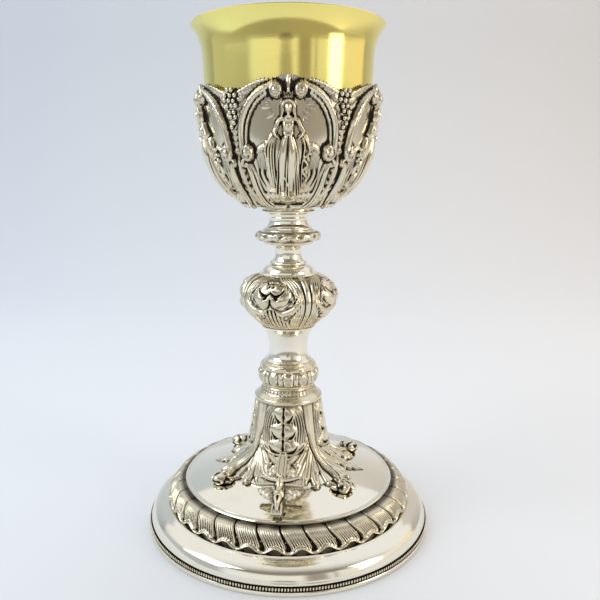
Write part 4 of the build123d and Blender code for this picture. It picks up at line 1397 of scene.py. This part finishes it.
def curled_tips():
    """The four big leaves' tips.

    Each turns up off the plate and rolls over into a plump, uneven bud with a hooked end."""
    nu, nv = int(120 * DETAIL), int(72 * DETAIL)
    verts, faces, cavs, shades = [], [], [], []
    for k, turn in enumerate(TIP_TURNS):
        flip = 1 if k % 2 == 0 else -1
        centre, out, side = on_foot(turn + FRONT_TURN + SLEEVE_SLIP, 39.4, 1.9)
        inward = -side * flip  # towards the next strap's front
        s = np.linspace(0.0, 1.0, nu)
        # the bud lies across the leaf; its thin end hooks back towards the stem
        bend = np.interp(s, [0, 0.35, 0.66, 0.85, 1.0], [0.0, 0.25, 0.95, 2.3, 3.6])
        step = 14.6 / (nu - 1)
        run = np.stack([np.cos(bend), -np.sin(bend)], -1) * step
        path = np.cumsum(run, 0) - run[0]
        path = path - np.array([5.6, -1.6])
        girth = np.interp(
            s, [0, 0.015, 0.06, 0.15, 0.32, 0.5, 0.66, 0.8, 0.93, 0.98, 1.0],
            [0.05, 1.0, 2.0, 2.75, 3.1, 2.6, 1.7, 1.25, 1.05, 0.7, 0.05]
        )
        phi = np.linspace(0, 2 * math.pi, nv, endpoint=False)
        S, PHI = np.meshgrid(s, phi, indexing="ij")
        lumps = 0.06 * np.sin(19 * S + 2 * PHI + k) + 0.055 * np.sin(
            11 * S - 3 * PHI + 2.1 * k
        ) + 0.045 * np.sin(31 * S + PHI + 1.7) + 0.03 * np.sin(5 * PHI + 14 * S)
        crease = np.exp(-(((S - 0.6 - 0.02 * np.sin(PHI)) / 0.03) ** 2)) + 0.5 * np.exp(
            -(((S - 0.3 + 0.05 * np.sin(PHI)) / 0.03) ** 2)
        )
        R = girth[:, None] * (1 + lumps * np.clip(girth / 2, 0, 1)[:, None] - 0.06 * crease)
        across = np.stack([np.sin(bend), np.cos(bend)], -1)
        broad = np.interp(s, [0, 0.45, 0.7, 1.0], [1.35, 1.35, 1.0, 1.0])[:, None]
        a = path[:, None, 0] + across[:, None, 0] * R * np.cos(PHI) * broad
        b = path[:, None, 1] + across[:, None, 1] * R * np.cos(PHI) * broad
        height = R * np.sin(PHI) * 0.92 + 0.35 * np.sin(3.0 * S)
        p = centre + a[..., None] * inward + b[..., None] * out + height[..., None] * np.array([0, 0, 1.0])
        # painted shade: the bud's underside, next to the plate, is darkened through both the cavity and ground
        # attributes
        under = np.clip((-np.sin(PHI) - 0.72) * 5, 0, 1)
        start = sum(len(q) for q in verts)
        verts.append(p.reshape(-1, 3))
        faces.append(grid_faces(nu, nv, close_v=True, start=start)[:, ::1 if k % 2 == 0 else -1])
        cavs.append((0.28 * crease + 0.4 * under + 0.2 * np.clip(-lumps / 0.1, 0, 1)).ravel())
        shades.append((under * 0.5).ravel())
    return piece(
        make_object(
            "curled_leaf_tips", np.concatenate(verts), np.concatenate(faces), chased,
            {"cavity": np.concatenate(cavs), "ground": np.concatenate(shades)}
        ),
        "stand", None, "relief_silver"
    )


curled_tips()


# ---- wave band ----------------------------------------------------------------------------------------------
def wave_band():
    copies = 33
    pitch = 360 / copies
    rows = profile([(63.4, 13.0), (63.2, 15.2), (61.9, 18.1), (59.4, 20.9), (56.9, 21.7), (54.3, 21.9)], step=0.25)
    f = Relief(rows, full_turn(2240, copies), int(84 * DETAIL), "z", True)
    slant = 3.3 * np.clip((f.K - 16) / 5, 0, None) ** 1.25
    phase = ((f.turn[:, None] + slant) / pitch) % 1.0
    wide = np.interp(f.K, [13, 15, 17.5, 20, 21.8], [0.13, 0.13, 0.10, 0.055, 0.03])
    away = np.minimum(phase, 1 - phase)
    groove = np.clip(1 - (away / wide) ** 2, 0, 1) ** 1.5
    lobe = np.sin(np.pi * np.clip(phase, 0, 1)) ** 0.6
    low = np.interp(f.K, [14.5, 16.0, 19.0, 21.2], [1.0, 1.0, 0.75, 0.15])
    hatch = (0.5 - 0.5 * np.cos(2 * np.pi * 10 * phase)) ** 1.1
    flank = 0.35 * np.exp(
        -(((phase - 1.0 + wide * 1.4) / 0.035) ** 2)
    ) + 0.45 * np.exp(-(((phase - wide * 1.5) / 0.04) ** 2))
    f.H[:] = 0.75 * lobe - 1.5 * groove + flank
    f.dark[:] = np.clip(groove * 1.6, 0, 1) * np.interp(f.K, [13, 18, 21.8], [1, 1, 0.75])
    lip = 13.65 + 2.0 * np.sin(np.pi * ((f.turn / pitch) % 1.0)) ** 2
    under = f.K < lip[:, None] - 0.25
    f.H[under], f.dark[under] = -0.9, 1.0
    for shift in (-1, 0, 1):
        c = shift * pitch
        f.dome(c + 0.5 * pitch, 16.7, 2.2, 1.3, 0.9, shape=bump, mode="max", dark=0.0)
        for k in range(5):
            t = (k - 2) / 2
            f.cut([
                (c + 0.5 * pitch + 0.8 * t, 16.1, 0.14, -0.5),
                (c + 0.5 * pitch + 1.7 * t, 17.5 - 0.5 * abs(t), 0.2, -0.5)
            ], n=3, dark=0.5)
        path = [
            (
                c + u * pitch, 13.65 + 2.0 * math.sin(math.pi * u) ** 2, 0.62 - 0.12 * math.sin(math.pi * u) ** 2,
                1.35 + 0.25 * math.sin(math.pi * u) ** 2
            ) for u in np.linspace(0, 1, 9)
        ]
        f.stroke(path, bump, "max", n=4)
    f.soften()
    above_lip = np.clip((f.K - lip[:, None] - 1.0) / 0.8, 0, 1) * (away > wide * 1.2)
    lines = low * hatch * above_lip * np.interp(phase, [0.1, 0.3, 1], [0.75, 1.0, 1.0])
    f.H -= 0.6 * lines
    f.dark = np.maximum(f.dark, lines)
    # painted shadow: the band's top darkens fully just under the foot plate's overhanging edge
    f.dark = np.maximum(f.dark, np.interp(f.K, [21.35, 21.75], [0.0, 1.0]))
    inner = np.array([(54.3, 21.2), (58.6, 20.4), (61.0, 17.4), (62.2, 13.05)])
    return relief_ring("wave_band_relief", f, inner, chased, copies, (0.25, 0.7), soften=False)


piece(wave_band(), "stand", "wave_band", "relief_silver")


# ---- beaded wire --------------------------------------------------------------------------------------------
BEADS = 336


def beaded_wire():
    seat = lathe(
        "bead_seat", profile([(72.6, 2.0), (73.7, 2.0)], [(73.7, 4.0)], [(72.6, 4.0)], [(72.6, 2.0)])[:-1], chased,
        240
    )
    n = len(seat.data.vertices)
    # painted shade: the seat behind the beads is laid fully dark, as the shade between them
    seat.data.attributes.new("ground", "FLOAT", "POINT").data.foreach_set("value", np.ones(n, np.float32))
    seat.data.attributes.new("cavity", "FLOAT", "POINT").data.foreach_set("value", np.ones(n, np.float32))
    piece(seat, "stand", "beaded_wire", "relief_silver")
    verts, faces, _ = spheres(np.zeros((BEADS, 3)), np.ones(BEADS), nu=10, nv=8)
    verts = verts.reshape(BEADS, -1, 3)
    a = np.radians(np.arange(BEADS) * 360 / BEADS)
    out = np.stack([np.sin(a), -np.cos(a), 0 * a], -1)
    side = np.stack([np.cos(a), np.sin(a), 0 * a], -1)
    size = np.stack([
        rng.uniform(0.50, 0.58, BEADS), rng.uniform(0.66, 0.72, BEADS), rng.uniform(0.88, 0.98, BEADS)
    ], -1)
    local = verts * size[:, None, :]
    pts = local[..., 0:1] * side[:, None] + local[..., 1:2] * out[:, None] + local[..., 2:3] * np.array([0, 0, 1.0])
    pts = pts + (73.95 * out + np.array([0, 0, 3.0]))[:, None]
    # painted shade: each bead darkens on its inward half, towards the seat and the rim
    facing = verts[..., 1].ravel()
    cavity = np.interp(facing, [0.0, 0.5], [0.6, 0.0])
    ob = make_object(
        "foot_beads", pts.reshape(-1, 3), faces, chased, {"cavity": cavity, "ground": np.zeros(len(cavity))}
    )
    return piece(ob, "stand", None, "relief_silver")


beaded_wire()


# ---- crucifix -------------------------------------------------------------------------------------------------
def cross_frame():
    """Origin at the cross's lower end and its three directions: across, up the shaft, and out of its face."""
    a = math.radians(FRONT_TURN)
    out = np.array([math.sin(a), -math.cos(a), 0.0])
    low, high = out * 54.0 + np.array([0, 0, 25.4]), out * 23.0 + np.array([0, 0, 41.9])
    up = (high - low) / np.linalg.norm(high - low)
    across = np.array([math.cos(a), math.sin(a), 0.0])
    return low, across, up, np.cross(across, up)


STUD_PITCH = 0.35


def slabs(name, boxes, mat, stud):
    """Bevelled bars with a raised border, and the threaded stud behind them that holds the cross to the plate.

    boxes: (u0, u1, v0, v1, w0, w1, border) in mm on the cross. stud: its radius, its ends below and above the
    plate's face, and its distance from the axis."""
    origin, across, up, face = cross_frame()
    verts, faces, cavs = [], [], []
    for (u0, u1, v0, v1, w0, w1, border) in boxes:
        bevel = 0.28
        # the third number of each ring is its cavity; the back edge over the plate gets painted shade, and the corner
        # inside the border a dark line
        rings = [
            (0, w0, 0.2), (0, w1 - bevel, 0.0), (bevel, w1, 0.0), (bevel + border, w1, 0.05),
            (bevel + border + 0.15, w1 - 0.28, 0.4), (bevel + border + 0.45, w1 - 0.26, 0.0)
        ]
        start = sum(len(v) for v in verts)
        for inset, w, c in rings:
            a0, a1, b0, b1 = u0 + inset, u1 - inset, v0 + inset, v1 - inset
            corners = [(a0, b0), (a1, b0), (a1, b1), (a0, b1)]
            ring = []
            for (p, q) in zip(corners, corners[1:] + corners[:1]):
                for t in np.linspace(0, 1, 6, endpoint=False):
                    ring.append(
                        origin + across * (p[0] + (q[0] - p[0]) * t) + up * (p[1] + (q[1] - p[1]) * t) + face * w
                    )
            verts.append(np.array(ring))
            cavs.append(np.full(len(ring), c))
        n = 24
        for k in range(len(rings) - 1):
            i = np.arange(n)
            faces.append(
                np.stack([
                    start + k * n + i, start + k * n + (i + 1) % n, start + (k + 1) * n + (i + 1) % n,
                    start + (k + 1) * n + i
                ], -1)
            )
        last = start + (len(rings) - 1) * n
        # close the panel with strips between its two long sides
        for i in range(6):
            faces.append(np.array([[last + i, last + i + 1, last + 17 - i, last + 18 - i]]))
    radius, down, high, r = stud
    foot, out, aside = on_foot(FRONT_TURN, r)
    normal = out * PLATE_SLOPE + np.array([0, 0, 1.0])
    normal /= np.linalg.norm(normal)
    ahead = np.cross(aside, normal)
    s = np.linspace(down, high, 90)
    crest = np.cos(2 * np.pi * s / STUD_PITCH)
    girth = radius - 0.05 * (1 + crest)
    girth[0], girth[-1] = radius * 0.6, radius * 0.6
    around = np.linspace(0, 2 * math.pi, 20, endpoint=False)
    start = sum(len(v) for v in verts)
    ring = np.cos(around)[None, :, None] * aside + np.sin(around)[None, :, None] * ahead
    verts.append((foot + s[:, None, None] * normal + girth[:, None, None] * ring).reshape(-1, 3))
    faces.append(grid_faces(len(s), 20, close_v=True, start=start))
    cavs.append(np.repeat(0.35 + 0.35 * crest, 20))
    cav = np.concatenate(cavs)
    return make_object(
        name, np.concatenate(verts), np.concatenate(faces), mat, {"cavity": cav, "ground": np.zeros(len(cav))},
        sharp=25
    )


CROSS_BARS = [
    (-2.15, 2.15, 5.0, 34.3, 1.2, 2.95, 0.5),
    (-9.0, 9.0, 16.4, 20.6, 1.2, 2.9, 0.45),
    (-11.6, -6.6, 16.1, 20.9, 1.2, 3.1, 0.4),
    (6.6, 11.6, 16.1, 20.9, 1.2, 3.1, 0.4),
    (-2.45, 2.45, 0.2, 5.4, 1.2, 3.1, 0.45),
    (-1.6, 1.6, 32.6, 35.0, 1.2, 3.4, 0.35),
]
piece(slabs("cross_bars", CROSS_BARS, satin, stud=(0.9, -3.6, 4.6, 49.5)), "stand", "cross", "plain_silver")

FLAT = 900.0  # a turned surface this wide is flat enough to draw a plaque on


def plaque(half, low, high, step):
    """An empty flat relief; its degrees are mm across times PER_MM."""
    rows = np.array([(FLAT, low), (FLAT, high)])
    nu, nv = int(2 * half / step), int((high - low) / step)
    return Relief(rows, np.linspace(-half, half, nu) * PER_MM, nv, "z", False)


PER_MM = math.degrees(1 / FLAT)


def flat(rows):
    return [(row[0] * PER_MM,) + tuple(row[1:]) for row in rows]


def plaque_object(name, relief, lift, mat, scales=(0.25, 0.6), keep=0.03):
    """The raised part of a flat relief, laid on the cross at the given lift."""
    origin, across, up, face = cross_frame()
    relief.soften()
    cav = relief.cavity(*scales)
    p = relief.points()
    u, v = p[..., 0], p[..., 2]
    w = -p[..., 1] - FLAT + (u * u) / (2 * FLAT) + lift
    pts = origin + u[..., None] * across + v[..., None] * up + w[..., None] * face
    ground = np.clip(relief.dark, 0, 0.9) * (relief.dark < 0.95)
    return raised_part(name, relief, pts, cav, ground, mat, keep)


def corpus():
    f = plaque(11.5, 1.5, 24.5, 0.16 / DETAIL)

    def limb(rows, *shape, **more):
        f.stroke(flat([(1.12 * u, v, 1.32 * w, 1.1 * h) for u, v, w, h in rows]), *shape, **more)

    for side in (-1, 1):
        limb([(side * 1.6, 18.2, 0.75, 1.9), (side * 4.6, 19.0, 0.55, 1.5), (side * 8.3, 20.6, 0.42, 1.2)], bump, n=6)
        f.dome(side * 8.8 * PER_MM, 20.9, 0.6, 0.5, 1.3, lean=side * 30)
        limb([
            (side * 0.75, 10.8, 0.85, 2.0), (side * 0.95, 8.6, 0.75, 2.5), (side * 0.45, 5.6, 0.55, 1.9),
            (side * 0.3, 3.3, 0.45, 1.6)
        ], bump, n=6)
        f.dome(side * 0.85 * PER_MM, 8.7, 0.65, 0.7, 2.7)
        f.dome(side * 0.3 * PER_MM, 2.9, 0.4, 0.75, 2.0)
    limb([(0, 18.4, 1.5, 1.8), (0, 16.4, 1.65, 2.2), (0, 13.8, 1.15, 1.7), (0, 11.8, 1.35, 1.9)], bump, n=6)
    for side in (-1, 1):
        f.dome(side * 0.7 * PER_MM, 17.0, 0.8, 0.6, 2.35)
        for k in range(3):
            limb([
                (side * 0.3, 15.6 - 0.6 * k, 0.12, -0.2), (side * 1.2, 15.2 - 0.7 * k, 0.14, -0.25)
            ], soft, "add", n=4, dark=0.3)
    # the cloth round the hips, knotted at one side
    for k in range(4):
        limb([
            (-1.7, 11.9 - 0.5 * k, 0.28, 2.1), (0, 11.3 - 0.62 * k, 0.36, 2.6), (1.7, 12.0 - 0.5 * k, 0.28, 2.2)
        ], bump, n=5)
    limb([(1.6, 11.8, 0.5, 2.3), (2.1, 10.4, 0.4, 1.7), (1.9, 8.9, 0.2, 1.0)], bump, n=5)
    # head bowed towards one shoulder, hair to the shoulders and a plain oval face
    f.dome(-0.35 * PER_MM, 19.9, 1.15, 1.4, 2.9, lean=12)
    limb([(-1.3, 20.4, 0.35, 2.2), (-1.6, 19.2, 0.38, 2.2), (-1.3, 18.2, 0.3, 2.0)], bump, n=5)
    limb([(0.7, 20.6, 0.35, 2.2), (0.85, 19.4, 0.38, 2.2), (0.6, 18.4, 0.3, 2.0)], bump, n=5)
    limb([(-1.3, 20.7, 0.3, 2.9), (-0.2, 21.2, 0.32, 3.2), (0.8, 20.8, 0.3, 2.9)], bump, n=5)
    f.dome(-0.4 * PER_MM, 19.7, 0.72, 1.0, 3.25, lean=12)
    f.dark[:] = np.where(f.dark > 0.9, 0.0, f.dark)
    return plaque_object("corpus_figure", f, 2.9, chased)


piece(corpus(), "stand", "corpus", "relief_silver")


def foliage():
    f = plaque(13.0, 8.0, 31.0, 0.18 / DETAIL)
    for side in (-1, 1):
        # three-lobed leaves under the arms
        for (u, v, wide, tall, lean) in (
            (6.2, 12.6, 2.3, 2.0, -25), (8.2, 13.9, 1.9, 1.7, 10), (4.6, 11.6, 1.7, 1.9, -50),
            (5.2, 14.3, 2.2, 1.9, 0)
        ):
            f.dome(side * u * PER_MM, v, wide, tall, 1.7, lean=-side * lean, shape=blunt(3, 0.6))
        for (u1, v1) in ((8.9, 14.0), (7.0, 11.4), (4.6, 10.3)):
            f.cut(
                flat(
                    [
                        (side * 2.6, 15.4, 0.25, -0.6),
                        (side * (2.6 + 0.55 * (u1 - 2.6)), 15.4 + 0.55 * (v1 - 15.4), 0.3, -0.7),
                        (side * u1, v1, 0.15, -0.3)
                    ]
                ),
                n=5, dark=0.7
            )
        # small leaves beside the upper arm
        for (u, v, wide, tall, lean) in (
            (4.6, 23.6, 2.0, 1.9, 30), (5.0, 25.9, 1.5, 1.6, 0), (3.4, 25.0, 1.7, 2.4, 0), (3.0, 28.0, 0.9, 2.3, 10)
        ):
            f.dome(side * u * PER_MM, v, wide, tall, 1.6, lean=side * lean, shape=blunt(3, 0.6))
        f.cut(
            flat([(side * 2.4, 21.8, 0.25, -0.6), (side * 4.2, 24.2, 0.3, -0.7), (side * 5.0, 26.6, 0.15, -0.3)]),
            n=5, dark=0.7
        )
    f.dark[:] = np.where(f.dark > 0.9, 0.0, f.dark)
    return plaque_object("cross_leaves", f, 0.1, satin)


piece(foliage(), "stand", "cross_foliage", "relief_silver")


# ---- the fittings that keep their CAD shape --------------------------------------------------------------------
FITTINGS = {
    "cup_boss": gilt, "boss_washer": brass, "clamp_bridge": brass, "knop_liner": brass, "foot_washer": brass,
    "foot_nut": brass, "cross_nut": brass, "tie_rod": steel
}
for node, mat in FITTINGS.items():
    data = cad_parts[node].data
    data.materials.clear()
    data.materials.append(mat)


# ---- studio -----------------------------------------------------------------------------------------
def backdrop():
    """A pale floor that sweeps up behind the object."""
    front, bend, radius, top = -0.42, 0.55, 0.45, 0.9
    turns = np.linspace(0.1, math.pi / 2, 14)
    curve = [(bend + radius * math.sin(a), radius - radius * math.cos(a)) for a in turns]
    rows = [(front, 0.0), (bend, 0.0)] + curve + [(bend + radius, top)]
    xs = np.linspace(-2.2, 2.2, 12)
    pts = [(x, y, z) for x in xs for y, z in rows]
    me = bpy.data.meshes.new("sweep")
    n = len(rows)
    me.from_pydata(pts, [], [tuple(q) for q in grid_faces(len(xs), n)])
    for p in me.polygons:
        p.use_smooth = True
    mat, tree, shader = new_material("pale_sweep")
    place = put(tree, "ShaderNodeTexCoord").outputs["Object"]
    cloud = noise(tree, place, 2.2, 3.0)
    across = put(tree, "ShaderNodeSeparateXYZ", ins={0: place}).outputs[0]
    # painted light: the sweep's colour runs from cool blue at the left to warm grey at the right, in cloudy patches,
    # as the cool key and warm fill would tint it
    side = remap(tree, calc(tree, "ADD", across, calc(tree, "MULTIPLY", cloud, 0.2)), -0.5, 0.7, 0.0, 1.0, True)
    tint = blend_colour(tree, side, rgb(0.70, 0.76, 0.84), rgb(0.83, 0.81, 0.80))
    tree.links.new(tint, shader.inputs["Base Color"])
    shader.inputs["Roughness"].default_value = 0.9
    me.materials.append(mat)
    ob = bpy.data.objects.new("sweep", me)
    bpy.context.scene.collection.objects.link(ob)
    ob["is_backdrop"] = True


def area(name, place, aim, size, power, colour=(1, 1, 1)):
    data = bpy.data.lights.new(name, "AREA")
    data.shape = "RECTANGLE"
    data.size, data.size_y = size
    data.energy, data.color = power, colour
    ob = bpy.data.objects.new(name, data)
    ob.location = place
    ob.rotation_mode = "QUATERNION"
    ob.rotation_quaternion = (Vector(aim) - Vector(place)).to_track_quat("-Z", "Y")
    bpy.context.scene.collection.objects.link(ob)
    return ob


backdrop()
area("key", (-1.0, -0.35, 0.85), (0, 0, 0.13), (0.8, 0.9), 6.0, (0.88, 0.95, 1.0))
area("over", (0.1, 0.75, 1.35), (0, 0.1, 0.05), (1.4, 1.0), 7.0, (0.97, 0.98, 1.0)).visible_glossy = False
area("fill", (0.85, -0.45, 0.45), (0, 0, 0.13), (0.35, 0.7), 2.0, (1.0, 0.90, 0.76))

world = bpy.data.worlds.new("studio")
bpy.context.scene.world = world
world.use_nodes = True
wt = world.node_tree
back = wt.nodes["Background"]
direction = put(wt, "ShaderNodeTexCoord").outputs["Generated"]
dxyz = put(wt, "ShaderNodeSeparateXYZ", ins={0: direction}).outputs
around = calc(wt, "ARCTAN2", dxyz[0], calc(wt, "MULTIPLY", dxyz[1], -1.0))
up = dxyz[2]


def horizon(stops):
    """A ring of colours round the object: rows of (degrees from the camera's side towards +X, brightness, tint)."""
    ramp = put(wt, "ShaderNodeValToRGB", ins={0: remap(wt, around, -math.pi, math.pi)})
    while len(ramp.color_ramp.elements) < len(stops):
        ramp.color_ramp.elements.new(0.5)
    for e, (turn, level, tint) in zip(ramp.color_ramp.elements, stops):
        e.position, e.color = turn / 360 + 0.5, (*[level * c for c in tint], 1)
    return ramp.outputs[0]


COOL, NEUTRAL, WARM, AMBER = (0.93, 0.98, 1.05), (1.0, 0.99, 0.95), (1.05, 0.97, 0.86), (1.06, 0.90, 0.70)
# above the horizon: a pale room with a few darker doorways, warmer to the right
room = horizon(
    [
        (-180, 0.85, NEUTRAL), (-150, 0.66, COOL), (-100, 0.58, COOL), (-55, 0.50, COOL), (-46, 0.92, COOL),
        (-20, 0.90, NEUTRAL), (10, 0.92, NEUTRAL), (15, 0.36, WARM), (27, 0.36, WARM), (31, 0.85, NEUTRAL),
        (34, 0.80, NEUTRAL), (35.5, 0.12, WARM), (37, 0.85, NEUTRAL), (95, 0.90, WARM), (102, 0.95, AMBER),
        (150, 0.88, WARM)
    ]
)
# below it, past the cloth's edge: a dark floor in front, paler to the sides
floor = horizon(
    [
        (-180, 0.70, NEUTRAL), (-120, 0.60, COOL), (-70, 0.44, NEUTRAL), (-25, 0.36, NEUTRAL), (20, 0.40, WARM),
        (60, 0.42, WARM), (110, 0.60, WARM), (150, 0.70, WARM)
    ]
)
level = blend_colour(wt, remap(wt, up, -0.07, 0.07, 0.0, 1.0, True), floor, room)
# the ceiling is dim over the camera and lit over the cloth
ceiling = blend_colour(
    wt, remap(wt, dxyz[1], -0.55, 0.25, 0.0, 1.0, True), rgb(0.27, 0.255, 0.22), rgb(0.92, 0.93, 0.95)
)
level = blend_colour(wt, remap(wt, up, 0.34, 0.62, 0.0, 1.0, True), level, ceiling)
# somebody standing behind the camera
who_x = calc(wt, "DIVIDE", calc(wt, "SUBTRACT", around, -0.05), 0.16)
who_z = calc(wt, "DIVIDE", calc(wt, "SUBTRACT", up, 0.02), 0.13)
who = calc(wt, "ADD", calc(wt, "MULTIPLY", who_x, who_x), calc(wt, "MULTIPLY", who_z, who_z))
level = blend_colour(wt, remap(wt, who, 0.6, 1.3, 0.6, 0.0, True), level, rgb(0.10, 0.07, 0.06))
# the camera itself sees only a plain pale studio
seen = put(wt, "ShaderNodeLightPath").outputs["Is Camera Ray"]
level = blend_colour(
    wt, seen, level,
    blend_colour(wt, remap(wt, up, -0.3, 0.5, 0.0, 1.0, True), rgb(0.80, 0.82, 0.86), rgb(0.72, 0.77, 0.84))
)
wt.links.new(level, back.inputs["Color"])
back.inputs["Strength"].default_value = 1.0

view = bpy.context.scene.view_settings
view.view_transform = "Standard"
view.look = "None"

# the photograph's viewpoint
LENS, SHIFT_X, LOOKS_DOWN = 37.8, 0.0195, 11.29
CAMERA_AT = (0.0, -0.3196, 0.1815)
cam = bpy.data.cameras.new("camera")
cam.sensor_width = 36.0
cam.lens = LENS
cam.shift_x = SHIFT_X
camera = bpy.data.objects.new("camera", cam)
camera.location = CAMERA_AT
camera.rotation_euler = (math.radians(90 - LOOKS_DOWN), 0, 0)
bpy.context.scene.collection.objects.link(camera)
bpy.context.scene.camera = camera

vis_lo, vis_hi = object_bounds()
